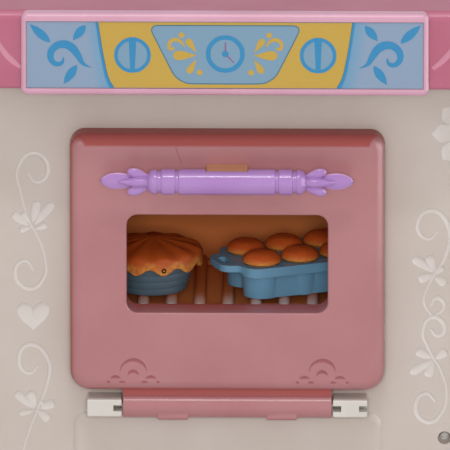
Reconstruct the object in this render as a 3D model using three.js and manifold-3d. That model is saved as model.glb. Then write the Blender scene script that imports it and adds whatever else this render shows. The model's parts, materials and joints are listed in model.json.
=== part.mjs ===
// Oven unit of a doll kitchen, in millimetres.
// +Z is up and the front looks along -Y. While the pieces are made, the cabinet's front face
// is at y = 0 and the floor at z = 0; at the end the whole unit is centred over its own floor
// area.

import * as THREE from 'three';
import { mergeVertices } from 'three/addons/utils/BufferGeometryUtils.js';
import Module from 'manifold-3d';

const wasm = await Module();
wasm.setup();

// Clearances
const SEAT = 0.3; // between two pieces that rest on each other
const END_PLAY = 0.5; // between the door's barrel and each knuckle
const PIN_PLAY = 0.15; // round the hinge pin, on the radius
const SCREW_PLAY = 0.2; // round a screw's shank, on the radius

// Cabinet
const CABINET_WIDTH = 288;
const CABINET_DEPTH = 111;
const CABINET_HEIGHT = 231.1; // floor to the underside of the worktop's skirt
const WALL = 2.4;
const FRONT_RETURN = 14; // how far the front moulding wraps round to the sides
const FRONT_CORNER = 6;
const FOOT_HEIGHT = 4;
const FOOT_RADIUS = 9;
const FOOT_INSET = 22;
const FLANGE = 15; // turned-in edges of the side panels
const TONGUE_REACH = 6;
const TONGUE_THICKNESS = 1.6;
const FLANGE_BELOW_TOP = 8; // the side panels' upper flange, below their own top
const FLANGE_SCREW_FROM_FRONT = 16;
const FLANGE_SCREW_FROM_BACK = 18;
const FLANGE_BOSS = 10;
const BACK_SCREW_FROM_FLOOR = 28;
const BACK_SCREW_BELOW_WORKTOP = 14;
const BACK_BOSS = 8;

// Worktop
const WORKTOP_THICKNESS = 40.1;
const WORKTOP_SIDE = 4; // past the cabinet on each side
const WORKTOP_FRONT = 32; // past the cabinet's front
const WORKTOP_BACK = 3;
const WORKTOP_CORNER = 12;
const WORKTOP_BACK_CORNER = 6;
const WORKTOP_HOLLOW_CORNER = 1; // inside, where the side panels' square backs fit
const WORKTOP_TOP_ROUND = 5.2;
const WORKTOP_BOTTOM_ROUND = 2;
const WORKTOP_TOP_WALL = 3;
const WORKTOP_SKIRT = 2.6;
const WORKTOP_RIB = 1.8;
const WORKTOP_RIB_RAISED = 2; // the ribs' feet above the skirt's edge
const WORKTOP_RIB_PITCH = 28;
const BURNER_RADIUS = 36;
const BURNER_GROOVE = 2.6;
const BURNER_GROOVE_DEPTH = 1;
const BURNER_RINGS = 2;
const BURNER_FROM_MIDDLE = 68;

// Control panel
const PANEL_WIDTH = 203.4;
const PANEL_PROUD = 4; // in front of the worktop
const PANEL_DROP = 2.2; // below the worktop
const PANEL_ROUND = 2.6;
const PANEL_CORNER = 3.4;
const LABEL_WIDTH = 198;
const LABEL_HEIGHT = 34.7;
const LABEL_SILL = 3.7; // frame left under the label
const LABEL_CORNER = 1.5;
const LABEL_THICKNESS = 0.6;
const LABEL_SUNK = 0.6;

// Door and its window
const DOOR_WIDTH = 157.4;
const DOOR_HEIGHT = 133.4;
const DOOR_THICKNESS = 14.2;
const DOOR_STANDOFF = 0.8;
const DOOR_WALL = 2.4;
const DOOR_EDGE = 6;
const DOOR_TOP_CORNER = 7.5;
const DOOR_BOTTOM_CORNER = 10;
const WINDOW_WIDTH = 100.6;
const WINDOW_HEIGHT = 50.9;
const WINDOW_ABOVE_EDGE = 41.3; // from the door's bottom edge
const WINDOW_CORNER = 5.5;
const WINDOW_SLEEVE = 2;
const INNER_SHEET = 2;
const INNER_REACH = 1.5; // inner frame's back, behind the cabinet's front face
const INNER_CORNER = 6;
const DOOR_SCREW_INSET = 8; // from the inner frame's edge

// Hinge
const HINGE_HEIGHT = 60;
const HINGE_FORWARD = 7.5;
const DOOR_ABOVE_HINGE = 9;
const BARREL_RADIUS = 6.2;
const BARREL_LENGTH = 104.8;
const NECK_THICKNESS = 5;
const PIN_RADIUS = 1;
const PIN_END = 1.2; // pin's end to the knuckle's outer face
const KNUCKLE_LENGTH = 17.4;
const KNUCKLE_HEIGHT = 9;
const KNUCKLE_DEPTH = 13.6;
const KNUCKLE_ROUND = 1;
const SLOT_LENGTH = 4.2;
const SLOT_HEIGHT = 3.2;
const SLOT_BEHIND_PIN = 0.6;
const KNUCKLE_SCREW_TO_PIN = 1.6; // plastic left between the screw's hole and the pin
const STOP_LENGTH = 15.4;
const STOP_THICKNESS = 4;
const STOP_CLEARANCE = 0.4; // to the cabinet's face when the door lies open
const STOP_FROM_MIDDLE = 27.3;
const STOP_PAD_FORWARD = 5.5; // pads on the barrel's front, at the stops
const STOP_PAD_TOP = 2.3; // below the hinge's axis
const STOP_PAD_BOTTOM = 5.7;

// Oven opening, liner and rack
const DOOR_LAP = 8.7; // door past the opening on each side
const OPENING_CORNER = 8;
const INNER_CLEARANCE = 2.5; // inner frame to the opening
const LINER_MARGIN = 8; // liner past the opening on each side
const LINER_SHEET = 2;
const LINER_TO_BACK = 10.3; // between the liner and the cabinet's back sheet
const LINER_CORNER = 10;
const LINER_BELOW_OPENING = 2;
const LINER_ABOVE_OPENING = 3;
const LINER_EAR = 12;
const LINER_EAR_BACK = 5.3; // liner's ears behind its mouth
const SHELF = 3;
const RACK_ABOVE_HINGE = 49;
const RACK_BAR = 6.2;
const RACK_PITCH = 14.15;
const RACK_THICKNESS = 4;
const RACK_BAR_SIDE = 1.6; // the bars' upright sides, under their round tops
const RACK_TIE = 4;
const RACK_TIE_SUNK = 1.4; // the cross bars' tops below the bars'
const RACK_SIDE_GAP = 0.6;
const RACK_FRONT_GAP = 4;
const CATCH_WIDTH = 12;
const CATCH_DEPTH = 6;
const CATCH_PEG = 2;
const CATCH_PEG_END = 1.5; // above the liner
const CATCH_BEHIND_MOUTH = 4;
const CATCH_TONGUE = 1.4;

// Lower front
const LOWER_PANEL_WIDTH = 155;
const LOWER_PANEL_BELOW_HINGE = 5.5;
const LOWER_PANEL_BOTTOM = 14;
const LOWER_PANEL_PROUD = 1.8;
const LOWER_PANEL_CORNER = 7.5;
const FRONT_SCREW_FROM_SIDE = 35;
const FRONT_SCREW_LEFT_SHIFT = 10; // the left one is that much nearer to its side
const FRONT_SCREW_BELOW_HINGE = 19;
const SCREW_RECESS_RADIUS = 3.4;
const SCREW_RECESS_DEPTH = 4.5;
const LUG_WIDTH = 11;
const LUG_DEPTH = 13;

// Door handle, turned about its own length
const HANDLE_FORWARD = 13; // its axis in front of the door
const HANDLE_BELOW_DOOR_TOP = 20.2;
const HANDLE_RADIUS = 6.45;
const HANDLE_GROOVE = 1;
const BAR_HALF = 24.2;
const GROOVE_LENGTH = 1.6;
const RING_LENGTH = 6.6;
const BEAD_LENGTH = 5.9;
const BEAD_SUNK = 0.2; // its radius below the bar's
const HANDLE_CHAMFER = 0.5;
const HANDLE_REAR_FLAT = 1.2; // cut off its back, where the tab's lug lies
const LEAF_FOOT_SUNK = 2; // the leaves' feet inside the bead
const SIDE_LEAF_LENGTH = 15;
const SIDE_LEAF_WIDTH = 6.8;
const SIDE_LEAF_THICKNESS = 4.4;
const SIDE_LEAF_OFFSET = 2.1; // their feet from the handle's axis
const SIDE_LEAF_ANGLE = 17; // degrees from the handle's axis
const BUD_LENGTH = 16;
const BUD_WIDTH = 5.4;
const BUD_DEPTH = 6.8;
const END_LEAF_LENGTH = 24;
const END_LEAF_WIDTH = 8.6;
const END_LEAF_THICKNESS = 3.8;
const END_LEAF_BEHIND = 1.6; // behind the bud
const END_LEAF_SHIFT = 2; // further out than the bud
const LEAF_PEAK = 0.62; // below 1, the leaf is thickest nearer to its foot
const LEAF_FULLNESS = 0.8;
const TAB_WIDTH = 20.8;
const TAB_THICKNESS = 2.2;
const TAB_ABOVE_AXIS = 5.8;
const TAB_REACH = 2.8; // in front of the handle's axis
const HANDLE_LUG_HEIGHT = 8;
const HANDLE_LUG_FRONT_WALL = 1.5; // left in front of its screw holes
const HANDLE_SCREW_FROM_MIDDLE = 6;

// Food
const DISH_RADIUS = 22.4;
const DISH_HEIGHT = 18.6;
const DISH_FOOT_RADIUS = 16;
const DISH_WALL = 1.6;
const DISH_RINGS = 4;
const DISH_RING_STEP = 0.8; // each ring's foot inside its widest point
const DISH_FLARE = 0.8; // below 1, the side is steeper at the rim
const CRUST_RADIUS = 25.5;
const CRUST_PLAY = 0.9; // to the dish's wall, inside and outside
const CRUST_RISE = 7.5;
const CRUST_PLUG = 3.2; // its plug's depth inside the dish
const CRUST_PLUG_TAPER = 1.6; // the crust's plug narrows by this towards its foot
const CRUST_SKIRT = 3.4; // below the rim, between two tips
const CRUST_TIP = 3.2; // the tips, further down
const CRUST_FOLDS = 11;
const CRUST_TURN = 14.4; // degrees from the front to the first tip
const CRUST_FOLD_RISE = 1.3;
const CRUST_DOME = 0.6; // its steps' heights, as a power
const CRUST_FALL = 1.6; // and their radii
const PIE_LEFT = 38.3;
const PIE_BACK = 36;
const CUP_PITCH = 20.6;
const CUP_ROW_PITCH = 22;
const CUP_ROWS = 2;
const CUP_COLUMNS = 3;
const CUP_RADIUS = 10.1;
const CUP_FOOT_RADIUS = 9.2;
const CUP_WALL = 1.2;
const TIN_HEIGHT = 16.6;
const TIN_LIP = 4.2;
const TIN_SHEET = 1.4;
const TIN_MARGIN = 2.2;
const TIN_CORNER = 8;
const TIN_HANDLE_REACH = 9;
const TIN_HANDLE_WIDTH = 24;
const TIN_HANDLE_ROUND = 6.3;
const TIN_HANDLE_THICKNESS = 3.4;
const TIN_WEB_SUNK = 1; // the walls between the cups, behind the cups' feet
const TIN_SLOT_WIDTH = 11;
const TIN_SLOT_DEPTH = 4.2;
const TIN_SLOT_FROM_TIN = 3.8; // to the slot's middle
const TIN_SLOT_ROUND = 1.9;
const TIN_TURN = 22; // degrees, seen from above
const TIN_CORNER_RIGHT = 10.3;
const TIN_CORNER_BACK = 7.4;
const MUFFIN_RADIUS = 9.75;
const MUFFIN_RISE = 6.2;
const MUFFIN_PLUG = 5;
const MUFFIN_BRIM = 0.8; // the rounding of its lower edge
const MUFFIN_DOME = 0.75; // below 1, the dome is fuller than a ball

// Screws
const SCREW_RADIUS = 1.25;
const SCREW_HEAD_RADIUS = 2.7;
const SCREW_HEAD_HEIGHT = 1.8;
const BOSS_WALL = 2.4;
const FRONT_SCREW_LENGTH = 13.2;
const KNUCKLE_SCREW_LENGTH = 7.2;
const HANDLE_SCREW_LENGTH = 6.6;
const LINER_SCREW_LENGTH = 6.6;
const DOOR_SCREW_LENGTH = 9;
const BASE_SCREW_LENGTH = 10;
const WORKTOP_SCREW_LENGTH = 8;
const BACK_SCREW_LENGTH = 9;

// Facets round a full turn
const FINE = 18;
const MEDIUM = 12;
const COARSE = 8;
const SCREW_FACETS = 6;
const CORNER_STEPS = 2; // an arc gets twice as many straight steps
const SQUARE = 0.01; // a square corner's radius

// Levels and planes that several pieces share
const HINGE_Y = -HINGE_FORWARD;
const DOOR_BOTTOM = HINGE_HEIGHT + DOOR_ABOVE_HINGE;
const DOOR_TOP = DOOR_BOTTOM + DOOR_HEIGHT;
const DOOR_BACK = -DOOR_STANDOFF;
const DOOR_FRONT = DOOR_BACK - DOOR_THICKNESS;
const DOOR_SKIN_BACK = DOOR_FRONT + DOOR_WALL;
const INNER_FRONT = DOOR_BACK - INNER_SHEET;
const WINDOW_BOTTOM = DOOR_BOTTOM + WINDOW_ABOVE_EDGE;
const OPENING_HALF = DOOR_WIDTH / 2 - DOOR_LAP;
const OPENING_BOTTOM = DOOR_BOTTOM + DOOR_LAP;
const OPENING_TOP = DOOR_TOP - DOOR_LAP;
const LINER_HALF = OPENING_HALF + LINER_MARGIN;
const LINER_BOTTOM = OPENING_BOTTOM - LINER_BELOW_OPENING;
const LINER_TOP = OPENING_TOP + LINER_ABOVE_OPENING;
const LINER_FRONT = WALL + SEAT;
const BACK_SHEET_FRONT = CABINET_DEPTH - WALL - SEAT;
const LINER_BACK = BACK_SHEET_FRONT - LINER_TO_BACK - LINER_SHEET; // its inner face
const RACK_TOP = HINGE_HEIGHT + RACK_ABOVE_HINGE;
const RACK_BOTTOM = RACK_TOP - RACK_THICKNESS;
const WORKTOP_TOP = CABINET_HEIGHT + WORKTOP_THICKNESS;
const WORKTOP_FACE = -WORKTOP_FRONT;
const SHELL_TOP = WORKTOP_TOP - WORKTOP_TOP_WALL - SEAT;
const FLANGE_TOP = SHELL_TOP - FLANGE_BELOW_TOP;
const CATCH_Y = LINER_FRONT + CATCH_BEHIND_MOUTH;
const HALF_WIDTH = CABINET_WIDTH / 2;
const FRONT_SCREW_X = HALF_WIDTH - FRONT_SCREW_FROM_SIDE;
const SCREW_HOLE = SCREW_RADIUS + SCREW_PLAY;
const BOSS_RADIUS = SCREW_HOLE + BOSS_WALL;

// Joining and cutting solids

function solidOf(geometry) {
  const bare = geometry.clone();
  bare.deleteAttribute('normal');
  bare.deleteAttribute('uv');
  const merged = mergeVertices(bare);
  return new wasm.Manifold(new wasm.Mesh({
    numProp: 3,
    vertProperties: Float32Array.from(merged.attributes.position.array),
    triVerts: Uint32Array.from(merged.index.array),
  }));
}

function geometryOf(solid) {
  const mesh = solid.getMesh();
  const geometry = new THREE.BufferGeometry();
  geometry.setAttribute('position', new THREE.BufferAttribute(mesh.vertProperties, 3));
  geometry.setIndex(new THREE.BufferAttribute(mesh.triVerts, 1));
  geometry.computeVertexNormals();
  return geometry;
}

function join(first, ...others) {
  return others.reduce((whole, piece) => whole.add(piece), first);
}

function cut(first, ...others) {
  return others.reduce((rest, piece) => rest.subtract(piece), first);
}

// Basic forms in their place

function block(left, right, front, back, bottom, top) {
  const geometry = new THREE.BoxGeometry(right - left, back - front, top - bottom);
  geometry.translate((left + right) / 2, (front + back) / 2, (bottom + top) / 2);
  return solidOf(geometry);
}

function rodAlongX(radius, left, right, y, z, facets = COARSE) {
  const geometry = new THREE.CylinderGeometry(radius, radius, right - left, facets);
  geometry.rotateZ(Math.PI / 2);
  geometry.translate((left + right) / 2, y, z);
  return solidOf(geometry);
}

function rodAlongY(radius, front, back, x, z, facets = COARSE) {
  const geometry = new THREE.CylinderGeometry(radius, radius, back - front, facets);
  geometry.translate(x, (front + back) / 2, z);
  return solidOf(geometry);
}

function rodAlongZ(radius, bottom, top, x, y, facets = COARSE) {
  const geometry = new THREE.CylinderGeometry(radius, radius, top - bottom, facets);
  geometry.rotateX(Math.PI / 2);
  geometry.translate(x, y, (bottom + top) / 2);
  return solidOf(geometry);
}

// A rectangle with rounded corners; the radii go bottom left, bottom right, top right, top left.
function roundedRectangle(left, right, bottom, top, radii) {
  const [bottomLeft, bottomRight, topRight, topLeft] = [radii].flat().length === 1
    ? Array(4).fill([radii].flat()[0])
    : radii;
  const shape = new THREE.Shape();
  shape.moveTo(left + bottomLeft, bottom);
  shape.lineTo(right - bottomRight, bottom);
  shape.absarc(right - bottomRight, bottom + bottomRight, bottomRight, -Math.PI / 2, 0);
  shape.lineTo(right, top - topRight);
  shape.absarc(right - topRight, top - topRight, topRight, 0, Math.PI / 2);
  shape.lineTo(left + topLeft, top);
  shape.absarc(left + topLeft, top - topLeft, topLeft, Math.PI / 2, Math.PI);
  shape.lineTo(left, bottom + bottomLeft);
  shape.absarc(left + bottomLeft, bottom + bottomLeft, bottomLeft, Math.PI, 1.5 * Math.PI);
  return shape;
}

// A sheet with its outline seen from the front, between two planes of y.
function upright(shape, front, back) {
  const geometry = new THREE.ExtrudeGeometry(shape, {
    depth: back - front, bevelEnabled: false, curveSegments: CORNER_STEPS,
  });
  geometry.rotateX(Math.PI / 2);
  geometry.translate(0, back, 0);
  return solidOf(geometry);
}

// The same with its front edge rounded.
function uprightRounded(shape, front, back, round, steps = 4) {
  const depth = back - front;
  const geometry = new THREE.ExtrudeGeometry(shape, {
    depth,
    bevelEnabled: true,
    bevelThickness: round,
    bevelSize: round,
    bevelOffset: -round,
    bevelSegments: steps,
    curveSegments: CORNER_STEPS,
  });
  geometry.rotateX(Math.PI / 2);
  geometry.translate(0, back + round, 0);
  const size = new THREE.Box3().setFromBufferAttribute(geometry.attributes.position);
  const behind = block(
    size.min.x - 1, size.max.x + 1, back, size.max.y + 1, size.min.z - 1, size.max.z + 1,
  );
  return cut(solidOf(geometry), behind);
}

// A sheet with its outline seen from above, between two levels.
function level(shape, bottom, top, round = 0, steps = 4) {
  const geometry = new THREE.ExtrudeGeometry(shape, {
    depth: top - bottom - 2 * round,
    bevelEnabled: round > 0,
    bevelThickness: round,
    bevelSize: round,
    bevelOffset: -round,
    bevelSegments: steps,
    curveSegments: CORNER_STEPS,
  });
  geometry.translate(0, 0, bottom + round);
  return solidOf(geometry);
}

// A turned form: the profile's points are [radius, height], from the axis back to the axis.
function turned(profile, facets) {
  const points = profile.map(([radius, height]) => new THREE.Vector2(radius, height));
  const geometry = new THREE.LatheGeometry(points, facets);
  geometry.rotateX(Math.PI / 2);
  return geometry;
}

// Every piece becomes one named mesh with its own material.

const unit = new THREE.Group();

function place(name, solid, { color, roughness, metalness = 0 }, parent = unit) {
  const material = new THREE.MeshStandardMaterial({ color, roughness, metalness });
  const mesh = new THREE.Mesh(geometryOf(solid), material);
  mesh.name = name;
  parent.add(mesh);
}

const CREAM = { color: 0xcfc3b2, roughness: 0.45 };
const PINK = { color: 0xb97886, roughness: 0.35 };
const WORKTOP_PINK = { color: 0xc77f9a, roughness: 0.3 };
const FRAME_PINK = { color: 0xcf93ab, roughness: 0.3 };
const PRINT_BLUE = { color: 0x96a8c3, roughness: 0.4 };
const PURPLE = { color: 0xb68cc8, roughness: 0.25 };
const TAN = { color: 0xa87052, roughness: 0.5 };
const WHITE = { color: 0xd7d2cd, roughness: 0.4 };
const OVEN_BROWN = { color: 0x8c4824, roughness: 0.55 };
const RACK_WHITE = { color: 0xe6d0c6, roughness: 0.4 };
const DISH_BLUE = { color: 0x5f8296, roughness: 0.4 };
const TIN_BLUE = { color: 0x6eaacd, roughness: 0.35 };
const BAKED = { color: 0xb4652c, roughness: 0.7 };
const STEEL = { color: 0xb9b6b2, roughness: 0.3, metalness: 1 };

// Screws

// A screw that points along -Z from under its head.
function screw(length) {
  return solidOf(turned([
    [0, -length],
    [SCREW_RADIUS, -length + SCREW_RADIUS],
    [SCREW_RADIUS, 0],
    [SCREW_HEAD_RADIUS, 0],
    [SCREW_HEAD_RADIUS * 0.85, SCREW_HEAD_HEIGHT],
    [0, SCREW_HEAD_HEIGHT],
  ], SCREW_FACETS));
}

// The turns bring the screw's point to look up, down, to the back or to the front.
const POINTS_UP = [180, 0, 0];
const POINTS_BACK = [90, 0, 0];
const POINTS_FRONT = [-90, 0, 0];

function placeScrew(name, length, turn, seat) {
  place(name, screw(length).rotate(turn).translate(seat), STEEL);
}

// Front panel: one moulding, bent round to the sides, with the oven's opening.

function frontScrewPlaces() {
  return [-FRONT_SCREW_X - FRONT_SCREW_LEFT_SHIFT, FRONT_SCREW_X];
}

function knuckleMiddles() {
  return [-1, 1].map((side) => side * (BARREL_LENGTH / 2 + END_PLAY + KNUCKLE_LENGTH / 2));
}

function linerEars() {
  const x = LINER_HALF + LINER_SHEET + LINER_EAR / 2;
  const low = LINER_BOTTOM + LINER_CORNER + LINER_EAR / 2;
  const high = LINER_TOP - LINER_CORNER - LINER_EAR / 2;
  return [[-x, low], [x, low], [-x, high], [x, high]];
}

function frontPlan(inset) {
  const half = HALF_WIDTH - inset;
  const radius = FRONT_CORNER - inset;
  const past = FRONT_RETURN + inset;
  return roundedRectangle(-half, half, inset, past, [radius, radius, SQUARE, SQUARE]);
}

function frontPanel() {
  const skin = cut(
    level(frontPlan(0), FOOT_HEIGHT, SHELL_TOP),
    level(frontPlan(WALL), FOOT_HEIGHT - 1, SHELL_TOP + 1),
  );
  const opening = upright(
    roundedRectangle(-OPENING_HALF, OPENING_HALF, OPENING_BOTTOM, OPENING_TOP, OPENING_CORNER),
    -1,
    WALL + 1,
  );
  const half = LOWER_PANEL_WIDTH / 2;
  const lowerTop = HINGE_HEIGHT - LOWER_PANEL_BELOW_HINGE;
  const raised = uprightRounded(
    roundedRectangle(-half, half, LOWER_PANEL_BOTTOM, lowerTop, LOWER_PANEL_CORNER),
    -LOWER_PANEL_PROUD,
    WALL / 2,
    LOWER_PANEL_PROUD - 0.2,
    3,
  );
  let panel = cut(join(skin, raised), opening);
  const screwLevel = HINGE_HEIGHT - FRONT_SCREW_BELOW_HINGE;
  const bossBack = SCREW_RECESS_DEPTH + WALL;
  for (const x of frontScrewPlaces()) {
    panel = join(panel, rodAlongY(SCREW_RECESS_RADIUS + WALL, WALL / 2, bossBack, x, screwLevel));
    panel = cut(
      panel,
      rodAlongY(SCREW_RECESS_RADIUS, -1, SCREW_RECESS_DEPTH, x, screwLevel, MEDIUM),
      rodAlongY(SCREW_HOLE, -1, bossBack + 1, x, screwLevel),
    );
  }
  for (const x of knuckleMiddles()) {
    panel = cut(panel, rodAlongY(SCREW_HOLE, -1, WALL + 1, x, HINGE_HEIGHT));
  }
  const earFace = LINER_FRONT + LINER_EAR_BACK;
  for (const [x, z] of linerEars()) {
    panel = join(panel, rodAlongY(BOSS_RADIUS, WALL / 2, earFace - SEAT, x, z));
    panel = cut(panel, rodAlongY(SCREW_HOLE, WALL, earFace, x, z));
  }
  return panel;
}

// Side panels: flat mouldings with their four edges turned in, and a tongue that reaches
// inside the front panel.

const SIDE_FRONT = FRONT_RETURN + SEAT;
const FLANGE_SCREW = FLANGE * 0.6; // flange screws, from the outer face

function sideFlangeScrewDepths() {
  return [SIDE_FRONT + FLANGE_SCREW_FROM_FRONT, CABINET_DEPTH - FLANGE_SCREW_FROM_BACK];
}

function backScrewLevels() {
  const low = BACK_SCREW_FROM_FLOOR;
  const high = CABINET_HEIGHT - BACK_SCREW_BELOW_WORKTOP;
  return [low, (low + high) / 2, high];
}

function sidePanel(side) {
  const outer = HALF_WIDTH;
  const inner = outer - WALL;
  const edge = outer - FLANGE;
  const floor = FOOT_HEIGHT + WALL + SEAT;
  const ceiling = FLANGE_TOP;
  const flangeFront = BACK_SHEET_FRONT - SEAT - WALL;
  let panel = join(
    block(inner, outer, SIDE_FRONT, CABINET_DEPTH, FOOT_HEIGHT, SHELL_TOP),
    block(edge, inner + 1, SIDE_FRONT, flangeFront + WALL, floor, floor + WALL),
    block(edge, inner + 1, SIDE_FRONT, flangeFront + WALL, ceiling - WALL, ceiling),
    block(edge, inner + 1, flangeFront, flangeFront + WALL, floor, ceiling),
    block(
      inner - SEAT - TONGUE_THICKNESS, inner + 1,
      SIDE_FRONT, SIDE_FRONT + TONGUE_REACH, floor, ceiling,
    ),
    block(
      inner - SEAT - TONGUE_THICKNESS, inner - SEAT,
      SIDE_FRONT - TONGUE_REACH, SIDE_FRONT + 1, floor, ceiling,
    ),
  );
  const x = outer - FLANGE_SCREW;
  for (const y of sideFlangeScrewDepths()) {
    panel = join(panel, rodAlongZ(BOSS_RADIUS, floor + 1, floor + FLANGE_BOSS, x, y));
    panel = cut(
      panel,
      rodAlongZ(SCREW_HOLE, floor - 1, floor + FLANGE_BOSS + 1, x, y),
      rodAlongZ(SCREW_HOLE, ceiling - WALL - 1, ceiling + 1, x, y),
    );
  }
  for (const z of backScrewLevels()) {
    panel = join(panel, rodAlongY(BOSS_RADIUS, flangeFront - BACK_BOSS, flangeFront + 1, x, z));
    panel = cut(
      panel,
      rodAlongY(SCREW_HOLE, flangeFront - BACK_BOSS - 1, flangeFront + WALL + 1, x, z),
    );
  }
  return side > 0 ? panel : panel.mirror([1, 0, 0]);
}

// Back panel: a flat sheet between the side panels, screwed to their back flanges.

function backPanel() {
  const half = HALF_WIDTH - WALL - SEAT;
  const bottom = FOOT_HEIGHT + WALL + SEAT;
  const front = BACK_SHEET_FRONT;
  let panel = block(-half, half, front, front + WALL, bottom, SHELL_TOP);
  for (const side of [-1, 1]) {
    for (const z of backScrewLevels()) {
      panel = cut(
        panel,
        rodAlongY(SCREW_HOLE, front - 1, front + WALL + 1, side * (HALF_WIDTH - FLANGE_SCREW), z),
      );
    }
  }
  return panel;
}

// Base plate with four feet, and two lugs that take the front screws.

function basePlate() {
  const half = HALF_WIDTH - WALL - SEAT;
  const front = WALL + SEAT;
  const back = CABINET_DEPTH - SEAT;
  const top = FOOT_HEIGHT + WALL;
  const corner = FRONT_CORNER - WALL - SEAT; // follows the front panel's bend
  const plan = roundedRectangle(-half, half, front, back, [corner, corner, SQUARE, SQUARE]);
  let plate = level(plan, FOOT_HEIGHT, top);
  for (const side of [-1, 1]) {
    for (const y of [FOOT_INSET, CABINET_DEPTH - FOOT_INSET]) {
      const foot = new THREE.CylinderGeometry(
        FOOT_RADIUS, FOOT_RADIUS * 0.88, FOOT_HEIGHT + 1, MEDIUM,
      );
      foot.rotateX(Math.PI / 2);
      foot.translate(side * (HALF_WIDTH - FOOT_INSET - FLANGE), y, (FOOT_HEIGHT + 1) / 2);
      plate = join(plate, solidOf(foot));
    }
    for (const y of sideFlangeScrewDepths()) {
      const x = side * (HALF_WIDTH - FLANGE_SCREW);
      plate = cut(plate, rodAlongZ(SCREW_HOLE, FOOT_HEIGHT - 1, top + 1, x, y));
    }
  }
  const screwLevel = HINGE_HEIGHT - FRONT_SCREW_BELOW_HINGE;
  const lugFront = SCREW_RECESS_DEPTH + WALL + SEAT;
  for (const x of frontScrewPlaces()) {
    plate = join(plate, block(
      x - LUG_WIDTH / 2, x + LUG_WIDTH / 2,
      lugFront, lugFront + LUG_DEPTH, top - 1, screwLevel + LUG_WIDTH / 2,
    ));
    plate = cut(plate, rodAlongY(SCREW_HOLE, lugFront - 1, lugFront + LUG_DEPTH - 2, x, screwLevel));
  }
  return plate;
}

// Worktop: a hollow moulding with rounded edges, ribs under its overhang and two burner
// patterns on its top.

function worktopPlan(inset, backCorner) {
  const half = HALF_WIDTH + WORKTOP_SIDE - inset;
  const front = WORKTOP_FACE + inset;
  const back = CABINET_DEPTH + WORKTOP_BACK - inset;
  const frontCorner = WORKTOP_CORNER - inset;
  return roundedRectangle(
    -half, half, front, back, [frontCorner, frontCorner, backCorner, backCorner],
  );
}

function worktopBody(grow = 0) {
  const plan = worktopPlan(-grow, WORKTOP_BACK_CORNER + grow);
  const bottom = CABINET_HEIGHT - grow;
  const top = WORKTOP_TOP + grow;
  const topRound = WORKTOP_TOP_ROUND + grow;
  const bottomRound = WORKTOP_BOTTOM_ROUND + grow;
  return level(plan, bottom - 3 * topRound, top, topRound, 4)
    .intersect(level(plan, bottom, top + 3 * bottomRound, bottomRound, 2));
}

function worktopBossPlaces() {
  const x = HALF_WIDTH - FLANGE_SCREW;
  return sideFlangeScrewDepths().flatMap((y) => [[-x, y], [x, y]]);
}

function burner(x, y) {
  const step = BURNER_RADIUS / BURNER_RINGS;
  const grooves = [];
  for (let ring = 1; ring <= BURNER_RINGS; ring += 1) {
    const radius = ring * step;
    const disc = rodAlongZ(radius, WORKTOP_TOP - BURNER_GROOVE_DEPTH, WORKTOP_TOP + 1, x, y, MEDIUM);
    const core = rodAlongZ(
      radius - BURNER_GROOVE, WORKTOP_TOP - 2 * BURNER_GROOVE_DEPTH, WORKTOP_TOP + 2, x, y, MEDIUM,
    );
    grooves.push(cut(disc, core));
  }
  return join(...grooves);
}

function worktop() {
  const half = HALF_WIDTH + WORKTOP_SIDE - WORKTOP_SKIRT;
  const front = WORKTOP_FACE + WORKTOP_SKIRT;
  const ceiling = WORKTOP_TOP - WORKTOP_TOP_WALL;
  let shell = cut(
    worktopBody(),
    level(worktopPlan(WORKTOP_SKIRT, WORKTOP_HOLLOW_CORNER), CABINET_HEIGHT - 1, ceiling),
  );
  const ribs = Math.floor(half / WORKTOP_RIB_PITCH);
  for (let index = -ribs; index <= ribs; index += 1) {
    const x = index * WORKTOP_RIB_PITCH;
    shell = join(shell, block(
      x - WORKTOP_RIB / 2, x + WORKTOP_RIB / 2, front - 1, -SEAT, CABINET_HEIGHT + WORKTOP_RIB_RAISED,
      ceiling + 1,
    ));
  }
  for (const [x, y] of worktopBossPlaces()) {
    const bossEnd = FLANGE_TOP + SEAT;
    shell = join(shell, rodAlongZ(BOSS_RADIUS, bossEnd, ceiling + 1, x, y));
    shell = cut(shell, rodAlongZ(SCREW_HOLE, bossEnd - 1, ceiling, x, y));
  }
  const middle = (WORKTOP_FACE + CABINET_DEPTH + WORKTOP_BACK) / 2;
  for (const side of [-1, 1]) {
    shell = cut(shell, burner(side * BURNER_FROM_MIDDLE, middle));
  }
  return shell;
}

// Control panel frame: hooks over the worktop's rounded top edge and under its bottom edge.

const PANEL_FRONT = WORKTOP_FACE - PANEL_PROUD;
const PANEL_BOTTOM = CABINET_HEIGHT - PANEL_DROP;
const LABEL_BOTTOM = PANEL_BOTTOM + LABEL_SILL;

function labelOutline(inset) {
  return roundedRectangle(
    -LABEL_WIDTH / 2 + inset, LABEL_WIDTH / 2 - inset,
    LABEL_BOTTOM + inset, LABEL_BOTTOM + LABEL_HEIGHT - inset, LABEL_CORNER,
  );
}

function controlFrame() {
  const half = PANEL_WIDTH / 2;
  const hookBack = WORKTOP_FACE + WORKTOP_TOP_ROUND;
  const slab = uprightRounded(
    roundedRectangle(-half, half, PANEL_BOTTOM, WORKTOP_TOP, PANEL_CORNER),
    PANEL_FRONT,
    hookBack,
    PANEL_ROUND,
  );
  const pocketBack = PANEL_FRONT + LABEL_SUNK + LABEL_THICKNESS + SEAT;
  const pocket = upright(labelOutline(0), PANEL_FRONT - 1, pocketBack);
  return cut(slab, worktopBody(SEAT), pocket);
}

function controlLabel() {
  const front = PANEL_FRONT + LABEL_SUNK;
  return upright(labelOutline(SEAT), front, front + LABEL_THICKNESS);
}

// Oven liner: a tub open to the front, with a shelf under the rack and four ears.

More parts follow.
